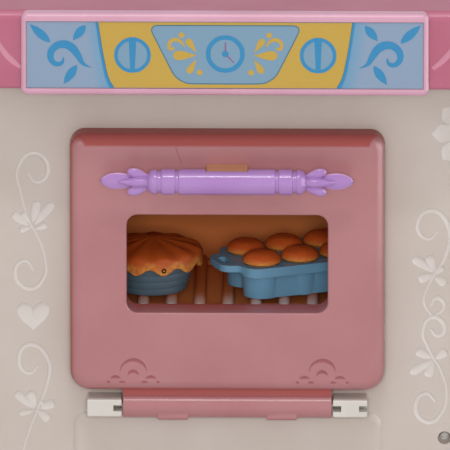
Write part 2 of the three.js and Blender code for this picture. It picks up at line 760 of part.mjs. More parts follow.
function ovenLiner() {
  const outer = roundedRectangle(
    -LINER_HALF - LINER_SHEET, LINER_HALF + LINER_SHEET,
    LINER_BOTTOM - LINER_SHEET, LINER_TOP + LINER_SHEET, LINER_CORNER + LINER_SHEET,
  );
  const inner = roundedRectangle(-LINER_HALF, LINER_HALF, LINER_BOTTOM, LINER_TOP, LINER_CORNER);
  let tub = cut(
    upright(outer, LINER_FRONT, LINER_BACK + LINER_SHEET),
    upright(inner, LINER_FRONT - 1, LINER_BACK),
  );
  const shelfTop = RACK_BOTTOM - SEAT;
  const shelfHalf = LINER_HALF + LINER_SHEET / 2;
  tub = join(tub, block(
    -shelfHalf, shelfHalf,
    LINER_FRONT + RACK_FRONT_GAP, LINER_BACK + LINER_SHEET / 2, shelfTop - SHELF, shelfTop,
  ));
  const earFront = LINER_FRONT + LINER_EAR_BACK;
  for (const [x, z] of linerEars()) {
    const ear = LINER_EAR / 2;
    const towardsTub = x > 0 ? x - ear - LINER_SHEET / 2 : x - ear;
    const awayFromTub = x > 0 ? x + ear : x + ear + LINER_SHEET / 2;
    tub = join(tub, block(
      towardsTub, awayFromTub, earFront, earFront + LINER_SHEET, z - ear, z + ear,
    ));
    tub = cut(tub, rodAlongY(SCREW_HOLE, earFront - 1, earFront + LINER_SHEET + 1, x, z));
  }
  return cut(tub, rodAlongZ(CATCH_PEG + SEAT, LINER_TOP - 1, LINER_TOP + LINER_SHEET + 1, 0, CATCH_Y));
}

// Oven rack: rounded bars from front to back, tied by a cross bar at each end.

function ovenRack() {
  const front = LINER_FRONT + RACK_FRONT_GAP;
  const back = LINER_BACK - SEAT;
  const half = LINER_HALF - RACK_SIDE_GAP;
  const tieTop = RACK_TOP - RACK_TIE_SUNK;
  const ties = [front + RACK_TIE, back - RACK_TIE].map((y) => block(
    -half, half, y - RACK_TIE / 2, y + RACK_TIE / 2, RACK_BOTTOM, tieTop,
  ));
  const barHalf = RACK_BAR / 2;
  const springing = RACK_BOTTOM + RACK_BAR_SIDE;
  const steps = Math.floor((half - barHalf) / RACK_PITCH);
  const bars = [];
  for (let index = -steps; index <= steps; index += 1) {
    const x = index * RACK_PITCH;
    const section = new THREE.Shape();
    section.moveTo(x - barHalf, RACK_BOTTOM);
    section.lineTo(x + barHalf, RACK_BOTTOM);
    section.absellipse(x, springing, barHalf, RACK_TOP - springing, 0, Math.PI);
    bars.push(upright(section, front, back));
  }
  return join(...ties, ...bars);
}

// Door catch: a white tongue under the liner's ceiling, held by a peg.

function doorCatch() {
  const half = CATCH_WIDTH / 2;
  const top = LINER_TOP - SEAT;
  const bottom = OPENING_TOP - SEAT - CATCH_TONGUE;
  const back = CATCH_Y + CATCH_DEPTH / 2;
  return join(
    block(-half, half, CATCH_Y - CATCH_DEPTH / 2, back, bottom, top),
    block(-half, half, SEAT, back, bottom, OPENING_TOP - SEAT),
    rodAlongZ(CATCH_PEG, top - 1, LINER_TOP + LINER_SHEET + CATCH_PEG_END, 0, CATCH_Y),
  );
}

// Door, outer moulding: a hollow slab with rounded edges, a sleeve round the window, bosses,
// and below it the neck, the barrel and two stops, each a fin with a pad in front of it.

function doorOutline(inset) {
  const half = DOOR_WIDTH / 2 - inset;
  const bottomRadius = DOOR_BOTTOM_CORNER - inset;
  const topRadius = DOOR_TOP_CORNER - inset;
  return roundedRectangle(
    -half, half, DOOR_BOTTOM + inset, DOOR_TOP - inset,
    [bottomRadius, bottomRadius, topRadius, topRadius],
  );
}

function windowOutline(grow) {
  const half = WINDOW_WIDTH / 2 + grow;
  return roundedRectangle(
    -half, half, WINDOW_BOTTOM - grow, WINDOW_BOTTOM + WINDOW_HEIGHT + grow, WINDOW_CORNER + grow,
  );
}

function innerFrameOutline(inset) {
  const half = OPENING_HALF - INNER_CLEARANCE - inset;
  return roundedRectangle(
    -half, half,
    OPENING_BOTTOM + INNER_CLEARANCE + inset, OPENING_TOP - INNER_CLEARANCE - inset,
    INNER_CORNER - inset,
  );
}

function doorScrewPlaces() {
  const x = OPENING_HALF - INNER_CLEARANCE - DOOR_SCREW_INSET;
  const low = OPENING_BOTTOM + INNER_CLEARANCE + DOOR_SCREW_INSET;
  const high = OPENING_TOP - INNER_CLEARANCE - DOOR_SCREW_INSET;
  return [[-x, low], [x, low], [-x, high], [x, high]];
}

const HANDLE_Y = DOOR_FRONT - HANDLE_FORWARD;
const HANDLE_Z = DOOR_TOP - HANDLE_BELOW_DOOR_TOP;

function handleScrewPlaces() {
  return [-1, 1].map((side) => side * HANDLE_SCREW_FROM_MIDDLE);
}

function doorOuter() {
  const hollowEdge = DOOR_EDGE - DOOR_WALL;
  let shell = cut(
    uprightRounded(doorOutline(0), DOOR_FRONT, DOOR_BACK, DOOR_EDGE),
    uprightRounded(doorOutline(DOOR_WALL), DOOR_SKIN_BACK, DOOR_BACK + 1, hollowEdge, 2),
  );
  const sleeveBack = INNER_FRONT - SEAT;
  shell = join(shell, upright(windowOutline(WINDOW_SLEEVE), DOOR_SKIN_BACK - 1, sleeveBack));
  for (const [x, z] of doorScrewPlaces()) {
    const bossBack = INNER_REACH - INNER_SHEET - SEAT;
    shell = join(shell, rodAlongY(BOSS_RADIUS, DOOR_SKIN_BACK - 1, bossBack, x, z));
    shell = cut(shell, rodAlongY(SCREW_HOLE, DOOR_SKIN_BACK + 1, bossBack + 1, x, z));
  }
  shell = cut(shell, upright(windowOutline(0), DOOR_FRONT - 1, DOOR_BACK + 1));
  for (const x of handleScrewPlaces()) {
    shell = cut(shell, rodAlongY(SCREW_HOLE, DOOR_FRONT - 1, DOOR_SKIN_BACK + 1, x, HANDLE_Z));
  }
  const halfBarrel = BARREL_LENGTH / 2;
  const neck = block(
    -halfBarrel, halfBarrel,
    HINGE_Y - NECK_THICKNESS / 2, HINGE_Y + NECK_THICKNESS / 2,
    HINGE_HEIGHT + BARREL_RADIUS * 0.7, DOOR_BOTTOM + DOOR_WALL / 2,
  );
  const stopReach = HINGE_FORWARD - STOP_CLEARANCE;
  const stops = [-STOP_FROM_MIDDLE, STOP_FROM_MIDDLE].flatMap((middle) => {
    const left = middle - STOP_LENGTH / 2;
    const right = middle + STOP_LENGTH / 2;
    const fin = block(
      left, right, HINGE_Y - STOP_THICKNESS / 2, HINGE_Y + STOP_THICKNESS / 2,
      HINGE_HEIGHT - stopReach, HINGE_HEIGHT - PIN_RADIUS * 2,
    );
    const pad = block(
      left, right, HINGE_Y - STOP_PAD_FORWARD, HINGE_Y,
      HINGE_HEIGHT - STOP_PAD_BOTTOM, HINGE_HEIGHT - STOP_PAD_TOP,
    );
    return [fin, pad];
  });
  const barrel = rodAlongX(
    BARREL_RADIUS, -halfBarrel, halfBarrel, HINGE_Y, HINGE_HEIGHT, FINE,
  );
  const bore = rodAlongX(
    PIN_RADIUS + PIN_PLAY, -halfBarrel - 1, halfBarrel + 1, HINGE_Y, HINGE_HEIGHT, MEDIUM,
  );
  return cut(join(shell, neck, barrel, ...stops), bore);
}

// Door, inner frame: a shallow pan that closes the door's back and stands a little way into
// the opening.

function doorInner() {
  const rim = upright(doorOutline(DOOR_WALL + SEAT), INNER_FRONT, DOOR_BACK);
  const pan = upright(innerFrameOutline(0), INNER_FRONT, INNER_REACH);
  const panHollow = upright(
    innerFrameOutline(INNER_SHEET), INNER_FRONT - 1, INNER_REACH - INNER_SHEET,
  );
  const sleeve = upright(windowOutline(WINDOW_SLEEVE), INNER_FRONT, INNER_REACH);
  let frame = join(cut(join(rim, pan), panHollow), sleeve);
  frame = cut(frame, upright(windowOutline(0), INNER_FRONT - 1, INNER_REACH + 1));
  for (const [x, z] of doorScrewPlaces()) {
    frame = cut(frame, rodAlongY(SCREW_HOLE, INNER_FRONT - 1, INNER_REACH + 1, x, z));
  }
  return frame;
}

// Door handle: a turned bar with grooves, rings and beads, and leaves at both ends.

// A leaf along +Z from its foot: oval in section, thickest a third of the way up.
function leaf(length, width, thickness) {
  const steps = 5;
  const profile = [];
  for (let index = 0; index <= steps; index += 1) {
    const along = index / steps;
    const swell = Math.sin(Math.PI * along ** LEAF_PEAK) ** LEAF_FULLNESS;
    profile.push([index % steps === 0 ? 0 : swell, along * length]);
  }
  const geometry = turned(profile, COARSE);
  geometry.scale(width / 2, thickness / 2, 1);
  return solidOf(geometry);
}

function handleEnd() {
  const ringsEnd = BAR_HALF + 2 * GROOVE_LENGTH + RING_LENGTH;
  const foot = ringsEnd + BEAD_LENGTH - LEAF_FOOT_SUNK;
  const upper = leaf(SIDE_LEAF_LENGTH, SIDE_LEAF_WIDTH, SIDE_LEAF_THICKNESS)
    .rotate([0, SIDE_LEAF_ANGLE, 0])
    .translate([SIDE_LEAF_OFFSET, 0, 0]);
  const bud = leaf(BUD_LENGTH, BUD_WIDTH, BUD_DEPTH);
  const end = leaf(END_LEAF_LENGTH, END_LEAF_WIDTH, END_LEAF_THICKNESS)
    .translate([0, END_LEAF_BEHIND, END_LEAF_SHIFT]);
  const leaves = join(upper, upper.mirror([1, 0, 0]), bud, end);
  return leaves.rotate([0, 90, 0]).translate([foot, 0, 0]);
}

function doorHandle() {
  const outer = HANDLE_RADIUS;
  const groove = HANDLE_RADIUS - HANDLE_GROOVE;
  const chamfer = HANDLE_CHAMFER;
  const stations = [
    [BAR_HALF - chamfer, outer],
    [BAR_HALF, outer - chamfer],
    [BAR_HALF, groove],
    [BAR_HALF + GROOVE_LENGTH, groove],
    [BAR_HALF + GROOVE_LENGTH, outer - chamfer],
    [BAR_HALF + GROOVE_LENGTH + chamfer, outer],
    [BAR_HALF + GROOVE_LENGTH + RING_LENGTH - chamfer, outer],
    [BAR_HALF + GROOVE_LENGTH + RING_LENGTH, outer - chamfer],
    [BAR_HALF + GROOVE_LENGTH + RING_LENGTH, groove],
    [BAR_HALF + 2 * GROOVE_LENGTH + RING_LENGTH, groove],
  ];
  const beadFoot = BAR_HALF + 2 * GROOVE_LENGTH + RING_LENGTH;
  const beadSteps = 3;
  for (let index = 0; index < beadSteps; index += 1) {
    const turn = (Math.PI / 2) * (index / beadSteps);
    stations.push([beadFoot + BEAD_LENGTH * Math.sin(turn), (outer - BEAD_SUNK) * Math.cos(turn)]);
  }
  const half = [...stations, [beadFoot + BEAD_LENGTH, 0]];
  const profile = [
    ...half.map(([x, radius]) => [radius, -x]).reverse(),
    ...half.map(([x, radius]) => [radius, x]),
  ];
  const bar = solidOf(turned(profile, FINE)).rotate([0, 90, 0]);
  const end = handleEnd();
  const notchFloor = TAB_ABOVE_AXIS - TAB_THICKNESS - SEAT;
  const notchHalf = TAB_WIDTH / 2 + SEAT;
  const notch = block(-notchHalf, notchHalf, -TAB_REACH - SEAT, outer + 1, notchFloor, outer + 1);
  const rearFlat = outer - HANDLE_REAR_FLAT;
  const seatForLug = block(-notchHalf, notchHalf, rearFlat, outer + 1, -outer - 1, outer + 1);
  return cut(join(bar, end, end.mirror([1, 0, 0])), notch, seatForLug)
    .translate([0, HANDLE_Y, HANDLE_Z]);
}

// Handle tab: a flat tan piece let into the top of the bar, with a lug behind it that two
// screws pull against the door.

function handleTab() {
  const half = TAB_WIDTH / 2;
  const top = HANDLE_Z + TAB_ABOVE_AXIS;
  const back = DOOR_FRONT - SEAT;
  const lugFront = HANDLE_Y + HANDLE_RADIUS - HANDLE_REAR_FLAT + SEAT;
  let tab = join(
    block(-half, half, HANDLE_Y - TAB_REACH, back, top - TAB_THICKNESS, top),
    block(-half, half, lugFront, back, HANDLE_Z - HANDLE_LUG_HEIGHT / 2, top - 1),
  );
  for (const x of handleScrewPlaces()) {
    tab = cut(tab, rodAlongY(SCREW_HOLE, lugFront + HANDLE_LUG_FRONT_WALL, back + 1, x, HANDLE_Z));
  }
  return tab;
}

// Hinge knuckles: white blocks on the cabinet's face, bored for the pin and slotted at the
// front so that the pin shows.

function knuckle(side) {
  const inner = BARREL_LENGTH / 2 + END_PLAY;
  const outer = inner + KNUCKLE_LENGTH;
  const half = KNUCKLE_HEIGHT / 2;
  const back = -SEAT;
  const front = back - KNUCKLE_DEPTH;
  let piece = uprightRounded(
    roundedRectangle(inner, outer, HINGE_HEIGHT - half, HINGE_HEIGHT + half, KNUCKLE_ROUND),
    front,
    back,
    KNUCKLE_ROUND * 0.8,
    2,
  );
  const slotBack = HINGE_Y + PIN_RADIUS + PIN_PLAY + SLOT_BEHIND_PIN;
  const slotHalf = SLOT_HEIGHT / 2;
  const slotEnds = side > 0 ? [[inner, inner + SLOT_LENGTH], [outer - SLOT_LENGTH, outer]]
    : [[inner, inner + SLOT_LENGTH]];
  for (const [start, end] of slotEnds) {
    piece = cut(piece, block(
      start === inner ? start - 1 : start, start === inner ? end : end + 1,
      front - 1, slotBack, HINGE_HEIGHT - slotHalf, HINGE_HEIGHT + slotHalf,
    ));
  }
  const middle = (inner + outer) / 2;
  piece = cut(
    piece,
    rodAlongX(PIN_RADIUS + PIN_PLAY, inner - 1, outer + 1, HINGE_Y, HINGE_HEIGHT, MEDIUM),
    rodAlongY(SCREW_HOLE, HINGE_Y + PIN_RADIUS + KNUCKLE_SCREW_TO_PIN, 0, middle, HINGE_HEIGHT),
  );
  return side > 0 ? piece : piece.mirror([1, 0, 0]);
}

function hingePin() {
  const end = BARREL_LENGTH / 2 + END_PLAY + KNUCKLE_LENGTH - PIN_END;
  return rodAlongX(PIN_RADIUS, -end, end, HINGE_Y, HINGE_HEIGHT, MEDIUM);
}

// Pie: a ringed dish, and a crust with folds that hangs over its rim.

function pieDish() {
  const outer = [[0, 0], [DISH_FOOT_RADIUS - DISH_RING_STEP, 0]];
  const ringHeight = DISH_HEIGHT / DISH_RINGS;
  for (let ring = 0; ring < DISH_RINGS; ring += 1) {
    const low = ring * ringHeight + DISH_RING_STEP / 2;
    const high = (ring + 1) * ringHeight - DISH_RING_STEP / 2;
    const share = (ring + 1) / DISH_RINGS;
    const radius = DISH_FOOT_RADIUS + (DISH_RADIUS - DISH_FOOT_RADIUS) * share ** DISH_FLARE;
    const foot = radius - DISH_RING_STEP;
    outer.push([foot, low], [radius, (low + high) / 2], [foot, high]);
  }
  outer.push([DISH_RADIUS, DISH_HEIGHT]);
  const inner = [
    [DISH_RADIUS - DISH_WALL, DISH_HEIGHT],
    [DISH_FOOT_RADIUS - DISH_WALL, DISH_WALL],
    [0, DISH_WALL],
  ];
  return solidOf(turned([...outer, ...inner], MEDIUM));
}

function pieCrust() {
  const rim = DISH_HEIGHT + SEAT;
  const skirtInner = DISH_RADIUS + CRUST_PLAY;
  const plug = DISH_RADIUS - DISH_WALL - CRUST_PLAY;
  const profile = [
    [0, rim - CRUST_PLUG],
    [plug - CRUST_PLUG_TAPER, rim - CRUST_PLUG],
    [plug, rim],
    [skirtInner, rim],
    [skirtInner, rim - CRUST_SKIRT],
    [CRUST_RADIUS, rim - CRUST_SKIRT],
    [CRUST_RADIUS, rim],
  ];
  const steps = 5;
  for (let index = 1; index <= steps; index += 1) {
    const along = index / steps;
    const radius = CRUST_RADIUS * (1 - along ** CRUST_FALL);
    profile.push([index === steps ? 0 : radius, rim + CRUST_RISE * along ** CRUST_DOME]);
  }
  const geometry = turned(profile, CRUST_FOLDS * 4);
  const points = geometry.attributes.position;
  for (let index = 0; index < points.count; index += 1) {
    const x = points.getX(index);
    const y = points.getY(index);
    const z = points.getZ(index);
    const radius = Math.hypot(x, y);
    const share = radius / CRUST_RADIUS;
    const valley = (1 - Math.cos(CRUST_FOLDS * Math.atan2(y, x))) / 2;
    const onSkirt = z < rim - CRUST_SKIRT / 2 && radius > plug + SEAT;
    const onTop = z > rim + SEAT;
    const lowered = (onSkirt ? (1 - valley) * CRUST_TIP : 0)
      + (onTop ? valley * share * CRUST_FOLD_RISE : 0);
    points.setZ(index, z - lowered);
  }
  return solidOf(geometry).rotate([0, 0, CRUST_TURN - 90]);
}

// Muffin tin: a lipped plate with a handle at each end and six tapered cups in two rows, each
// row closed by a wall on its outer side, and the muffins.

const TIN_LENGTH = (CUP_COLUMNS - 1) * CUP_PITCH + 2 * (MUFFIN_RADIUS + TIN_MARGIN);
const TIN_WIDTH = (CUP_ROWS - 1) * CUP_ROW_PITCH + 2 * (MUFFIN_RADIUS + TIN_MARGIN);

function cupPlaces() {
  const places = [];
  for (let row = 0; row < CUP_ROWS; row += 1) {
    for (let column = 0; column < CUP_COLUMNS; column += 1) {
      places.push([
        MUFFIN_RADIUS + TIN_MARGIN + column * CUP_PITCH,
        MUFFIN_RADIUS + TIN_MARGIN + row * CUP_ROW_PITCH,
      ]);
    }
  }
  return places;
}

function tinOutline(inset) {
  return roundedRectangle(inset, TIN_LENGTH - inset, inset, TIN_WIDTH - inset, TIN_CORNER - inset);
}

function tinHandleOutline(side) {
  const half = TIN_HANDLE_WIDTH / 2;
  const middle = TIN_WIDTH / 2;
  const root = side > 0 ? TIN_LENGTH - TIN_MARGIN : TIN_MARGIN;
  const tip = side > 0 ? TIN_LENGTH + TIN_HANDLE_REACH : -TIN_HANDLE_REACH;
  const left = Math.min(root, tip);
  const right = Math.max(root, tip);
  const round = TIN_HANDLE_ROUND;
  const radii = side > 0 ? [SQUARE, round, round, SQUARE] : [round, SQUARE, SQUARE, round];
  return roundedRectangle(left, right, middle - half, middle + half, radii);
}

function cone(topRadius, footRadius, bottom, top, x, y) {
  const geometry = new THREE.CylinderGeometry(topRadius, footRadius, top - bottom, MEDIUM);
  geometry.rotateX(Math.PI / 2);
  geometry.translate(x, y, (bottom + top) / 2);
  return solidOf(geometry);
}

function muffinTin() {
  const lipBottom = TIN_HEIGHT - TIN_LIP;
  const sheetBottom = TIN_HEIGHT - TIN_SHEET;
  let tin = cut(
    level(tinOutline(0), lipBottom, TIN_HEIGHT),
    level(tinOutline(TIN_SHEET), lipBottom - 1, sheetBottom),
  );
  for (const side of [-1, 1]) {
    const handleBottom = TIN_HEIGHT - TIN_HANDLE_THICKNESS;
    tin = join(tin, level(tinHandleOutline(side), handleBottom, TIN_HEIGHT));
    const slotMiddle = side > 0 ? TIN_LENGTH + TIN_SLOT_FROM_TIN : -TIN_SLOT_FROM_TIN;
    const slot = roundedRectangle(
      slotMiddle - TIN_SLOT_DEPTH / 2, slotMiddle + TIN_SLOT_DEPTH / 2,
      TIN_WIDTH / 2 - TIN_SLOT_WIDTH / 2, TIN_WIDTH / 2 + TIN_SLOT_WIDTH / 2,
      TIN_SLOT_ROUND,
    );
    tin = cut(tin, level(slot, handleBottom - 1, TIN_HEIGHT + 1));
  }
  for (const [x, y] of cupPlaces()) {
    tin = join(tin, cone(CUP_RADIUS, CUP_FOOT_RADIUS, 0, TIN_HEIGHT - 0.5, x, y));
  }
  const firstCup = MUFFIN_RADIUS + TIN_MARGIN;
  const webFront = firstCup - CUP_FOOT_RADIUS + TIN_WEB_SUNK;
  for (const front of [webFront, TIN_WIDTH - webFront - CUP_WALL]) {
    tin = join(tin, block(
      firstCup, TIN_LENGTH - firstCup, front, front + CUP_WALL, 0, TIN_HEIGHT - TIN_SHEET / 2,
    ));
  }
  for (const [x, y] of cupPlaces()) {
    tin = cut(tin, cone(
      CUP_RADIUS - CUP_WALL, CUP_FOOT_RADIUS - CUP_WALL, CUP_WALL, TIN_HEIGHT + 1, x, y,
    ));
  }
  return tin;
}

function muffin(x, y) {
  const foot = TIN_HEIGHT + SEAT;
  const plug = CUP_FOOT_RADIUS - CUP_WALL - SEAT;
  const profile = [[0, foot - MUFFIN_PLUG], [plug, foot - MUFFIN_PLUG], [plug, foot]];
  profile.push([MUFFIN_RADIUS - MUFFIN_BRIM, foot]);
  const steps = 4;
  for (let index = 0; index <= steps; index += 1) {
    const turn = (Math.PI / 2) * (index / steps);
    const radius = index === steps ? 0 : MUFFIN_RADIUS * Math.cos(turn) ** MUFFIN_DOME;
    const rise = (MUFFIN_RISE - MUFFIN_BRIM) * Math.sin(turn);
    profile.push([radius, foot + MUFFIN_BRIM + rise]);
  }
  return solidOf(turned(profile, MEDIUM)).translate([x, y, 0]);
}

// The assembly

place('front_panel', frontPanel(), CREAM);
place('side_panel_left', sidePanel(-1), CREAM);
place('side_panel_right', sidePanel(1), CREAM);
place('back_panel', backPanel(), CREAM);
place('base_plate', basePlate(), CREAM);
place('worktop', worktop(), WORKTOP_PINK);
place('control_frame', controlFrame(), FRAME_PINK);
place('control_label', controlLabel(), PRINT_BLUE);
place('oven_liner', ovenLiner(), OVEN_BROWN);
place('oven_rack', ovenRack(), RACK_WHITE);
place('door_catch', doorCatch(), WHITE);
place('door_outer', doorOuter(), PINK);
place('door_inner', doorInner(), PINK);
place('door_handle', doorHandle(), PURPLE);
place('handle_tab', handleTab(), TAN);
place('hinge_pin', hingePin(), STEEL);
place('hinge_knuckle_left', knuckle(-1), WHITE);
place('hinge_knuckle_right', knuckle(1), WHITE);

const SIDES = [['left', -1], ['right', 1]];
const screwLevel = HINGE_HEIGHT - FRONT_SCREW_BELOW_HINGE;
for (const [index, [name, side]] of SIDES.entries()) {
  const x = frontScrewPlaces()[index];
  const seat = SCREW_RECESS_DEPTH - SEAT;
  placeScrew(`front_screw_${name}`, FRONT_SCREW_LENGTH, POINTS_BACK, [x, seat, screwLevel]);
  const knuckleX = side * knuckleMiddles()[1];
  placeScrew(
    `knuckle_screw_${name}`, KNUCKLE_SCREW_LENGTH, POINTS_FRONT,
    [knuckleX, WALL + SEAT, HINGE_HEIGHT],
  );
  const handleX = side * HANDLE_SCREW_FROM_MIDDLE;
  placeScrew(
    `handle_screw_${name}`, HANDLE_SCREW_LENGTH, POINTS_FRONT,
    [handleX, DOOR_SKIN_BACK + SEAT, HANDLE_Z],
  );
}
linerEars().forEach(([x, z], index) => {
  const seat = LINER_FRONT + LINER_EAR_BACK + LINER_SHEET + SEAT;
  placeScrew(`liner_screw_${index + 1}`, LINER_SCREW_LENGTH, POINTS_FRONT, [x, seat, z]);
});
doorScrewPlaces().forEach(([x, z], index) => {
  const seat = INNER_REACH + SEAT;
  placeScrew(`door_screw_${index + 1}`, DOOR_SCREW_LENGTH, POINTS_FRONT, [x, seat, z]);
});
worktopBossPlaces().forEach(([x, y], index) => {
  const underBase = FOOT_HEIGHT - SEAT;
  placeScrew(`base_screw_${index + 1}`, BASE_SCREW_LENGTH, POINTS_UP, [x, y, underBase]);
  const underFlange = FLANGE_TOP - WALL - SEAT;
  placeScrew(
    `worktop_screw_${index + 1}`, WORKTOP_SCREW_LENGTH, POINTS_UP, [x, y, underFlange],
  );
});
SIDES.forEach(([name, side]) => {
  backScrewLevels().forEach((z, index) => {
    const x = side * (HALF_WIDTH - FLANGE_SCREW);
    const screwName = `back_screw_${name}_${index + 1}`;
    placeScrew(screwName, BACK_SCREW_LENGTH, POINTS_FRONT, [x, CABINET_DEPTH, z]);
  });
});

// The dish and the crust stand on the rack, and so does the tin with its muffins.

const pie = new THREE.Group();
pie.position.set(-PIE_LEFT, PIE_BACK, RACK_TOP + SEAT);
place('pie_dish', pieDish(), DISH_BLUE, pie);
place('pie_crust', pieCrust(), BAKED, pie);
unit.add(pie);

const tin = new THREE.Group();
tin.position.set(TIN_CORNER_RIGHT, TIN_CORNER_BACK, RACK_TOP + SEAT);
tin.rotation.z = THREE.MathUtils.degToRad(TIN_TURN);
place('muffin_tin', muffinTin(), TIN_BLUE, tin);
cupPlaces().forEach(([x, y], index) => {
  place(`muffin_${index + 1}`, muffin(x, y), BAKED, tin);
});
unit.add(tin);

const frontMost = PANEL_FRONT;
const backMost = CABINET_DEPTH + WORKTOP_BACK;
unit.position.y = -(frontMost + backMost) / 2;
unit.updateMatrixWorld(true);

export default unit;
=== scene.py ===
import json
import math

import bmesh
import bpy
from mathutils import Matrix, Vector, noise

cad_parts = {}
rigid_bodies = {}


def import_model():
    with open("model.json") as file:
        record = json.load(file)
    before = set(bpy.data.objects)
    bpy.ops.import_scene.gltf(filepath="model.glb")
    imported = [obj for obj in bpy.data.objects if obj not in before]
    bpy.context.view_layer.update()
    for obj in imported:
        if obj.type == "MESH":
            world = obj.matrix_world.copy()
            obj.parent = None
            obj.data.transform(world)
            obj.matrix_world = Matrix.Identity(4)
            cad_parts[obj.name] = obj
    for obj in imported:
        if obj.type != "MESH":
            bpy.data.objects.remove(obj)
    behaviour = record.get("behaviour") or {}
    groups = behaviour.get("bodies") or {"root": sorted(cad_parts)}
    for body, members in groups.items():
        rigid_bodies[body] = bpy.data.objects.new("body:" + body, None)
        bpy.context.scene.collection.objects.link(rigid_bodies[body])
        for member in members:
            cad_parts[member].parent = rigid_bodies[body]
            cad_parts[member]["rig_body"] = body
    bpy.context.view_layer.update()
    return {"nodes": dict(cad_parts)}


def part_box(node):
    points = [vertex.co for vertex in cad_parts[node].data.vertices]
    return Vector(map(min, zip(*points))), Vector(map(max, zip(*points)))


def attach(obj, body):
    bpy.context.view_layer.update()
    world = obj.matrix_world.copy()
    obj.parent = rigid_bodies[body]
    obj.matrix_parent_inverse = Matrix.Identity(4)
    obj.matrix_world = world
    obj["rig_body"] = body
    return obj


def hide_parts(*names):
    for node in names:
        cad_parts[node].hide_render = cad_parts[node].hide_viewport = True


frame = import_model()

scene = bpy.context.scene
scene.view_settings.view_transform = "Standard"

# Studio. A long lens looks down a little on the oven's door, from just right of its middle.
# The unit stands on a wide pale floor under two soft lamps in front and two above; a bright
# board at each side shows only in its gloss.
SIGHT_TURN = math.radians(0.7)
SIGHT_RISE = math.radians(16)
SIGHT_DISTANCE = 10.0
SEEN_WIDTH = 0.225
SENSOR_WIDTH = 36

sight_target = Vector((-0.0011, -0.054, 0.1562))


def from_target(turn, rise, distance):
    """A place seen from the target, turned to the right of the front and raised."""
    away = Vector((
        math.sin(turn) * math.cos(rise), -math.cos(turn) * math.cos(rise), math.sin(rise)))
    return sight_target + away * distance


def look_at_target(thing):
    away = thing.location - sight_target
    thing.rotation_euler = away.to_track_quat("Z", "Y").to_euler()


def add_to_scene(name, data):
    thing = bpy.data.objects.new(name, data)
    scene.collection.objects.link(thing)
    return thing


camera_data = bpy.data.cameras.new("camera")
camera_data.sensor_width = SENSOR_WIDTH
camera_data.lens = SENSOR_WIDTH * SIGHT_DISTANCE / SEEN_WIDTH
camera = add_to_scene("camera", camera_data)
camera.location = from_target(SIGHT_TURN, SIGHT_RISE, SIGHT_DISTANCE)
look_at_target(camera)
scene.camera = camera


def soft_lamp(name, turn, rise, distance, width, height, watts, colour, lights=True,
              mirrored=True):
    """A lamp that the camera doesn't see; it can light matt faces, show in gloss, or both."""
    lamp_data = bpy.data.lights.new(name, "AREA")
    lamp_data.shape = "RECTANGLE"
    lamp_data.size = width
    lamp_data.size_y = height
    lamp_data.energy = watts
    lamp_data.color = colour
    lamp = add_to_scene(name, lamp_data)
    lamp.location = from_target(math.radians(turn), math.radians(rise), distance)
    look_at_target(lamp)
    lamp.visible_camera = False
    lamp.visible_diffuse = lights
    lamp.visible_glossy = mirrored


soft_lamp("front_lamp", 1, 15, 2.2, 0.6, 0.4, 16.2, (1.0, 0.985, 0.965), mirrored=False)
soft_lamp("upper_lamp", -4, 34, 2.2, 1.0, 0.8, 2.5, (1.0, 0.99, 0.98), mirrored=False)
soft_lamp("strip_lamp", 0, 64, 2.4, 0.6, 0.12, 9, (1.0, 0.99, 0.98))
soft_lamp("top_lamp", 0, 86, 1.6, 0.8, 0.8, 3, (1.0, 0.99, 1.0))
soft_lamp("right_board", 84, 12, 0.5, 0.7, 0.5, 3.6, (1.0, 0.98, 0.98), lights=False)
soft_lamp("left_board", -42, 26, 0.6, 0.2, 0.2, 0.25, (1.0, 0.98, 0.98), lights=False)

world = bpy.data.worlds.new("room")
world.use_nodes = True
world.node_tree.nodes["Background"].inputs["Color"].default_value = (0.55, 0.55, 0.56, 1)
scene.world = world


def paint(red, green, blue):
    """A colour as it is seen, from 0 to 255, for a shader."""
    def channel(value):
        share = value / 255
        return share / 12.92 if share < 0.04045 else ((share + 0.055) / 1.055) ** 2.4
    return channel(red), channel(green), channel(blue), 1.0


def new_material(name):
    material = bpy.data.materials.new(name)
    material.use_nodes = True
    tree = material.node_tree
    return material, tree, tree.nodes["Principled BSDF"]


def object_place(tree):
    return tree.nodes.new("ShaderNodeTexCoord").outputs["Object"]


def give(tree, entry, value):
    """Joins another node's output to a socket, or sets its number or colour."""
    if isinstance(value, bpy.types.NodeSocket):
        tree.links.new(value, entry)
    else:
        entry.default_value = value


def fill(tree, node, entries):
    for name, value in entries.items():
        give(tree, node.inputs[name], value)
    return node


def noise_on(tree, coordinates, scale, detail=2.0):
    texture = tree.nodes.new("ShaderNodeTexNoise")
    fill(tree, texture, {"Vector": coordinates, "Scale": scale, "Detail": detail})
    return texture.outputs["Fac"]


def blend_colours(tree, share, first, second):
    node = tree.nodes.new("ShaderNodeMix")
    node.data_type = "RGBA"
    tree.links.new(share, node.inputs["Factor"])
    for socket, colour in (("A", first), ("B", second)):
        entry = next(s for s in node.inputs if s.name == socket and s.type == "RGBA")
        give(tree, entry, colour)
    return next(s for s in node.outputs if s.type == "RGBA")


def as_mesh(bm, name="working"):
    mesh = bpy.data.meshes.new(name)
    bm.to_mesh(mesh)
    bm.free()
    return mesh


FLOOR_REACH = 4
floor_sheet = bmesh.new()
bmesh.ops.create_grid(floor_sheet, x_segments=1, y_segments=1, size=FLOOR_REACH)
floor = add_to_scene("floor", as_mesh(floor_sheet, "floor"))
floor_material, floor_tree, floor_shader = new_material("studio_floor")
floor_clouds = noise_on(floor_tree, object_place(floor_tree), 3.0)
floor_grey = blend_colours(floor_tree, floor_clouds, paint(212, 211, 209), paint(218, 217, 215))
fill(floor_tree, floor_shader, {"Base Color": floor_grey, "Roughness": 0.9})
floor.data.materials.append(floor_material)

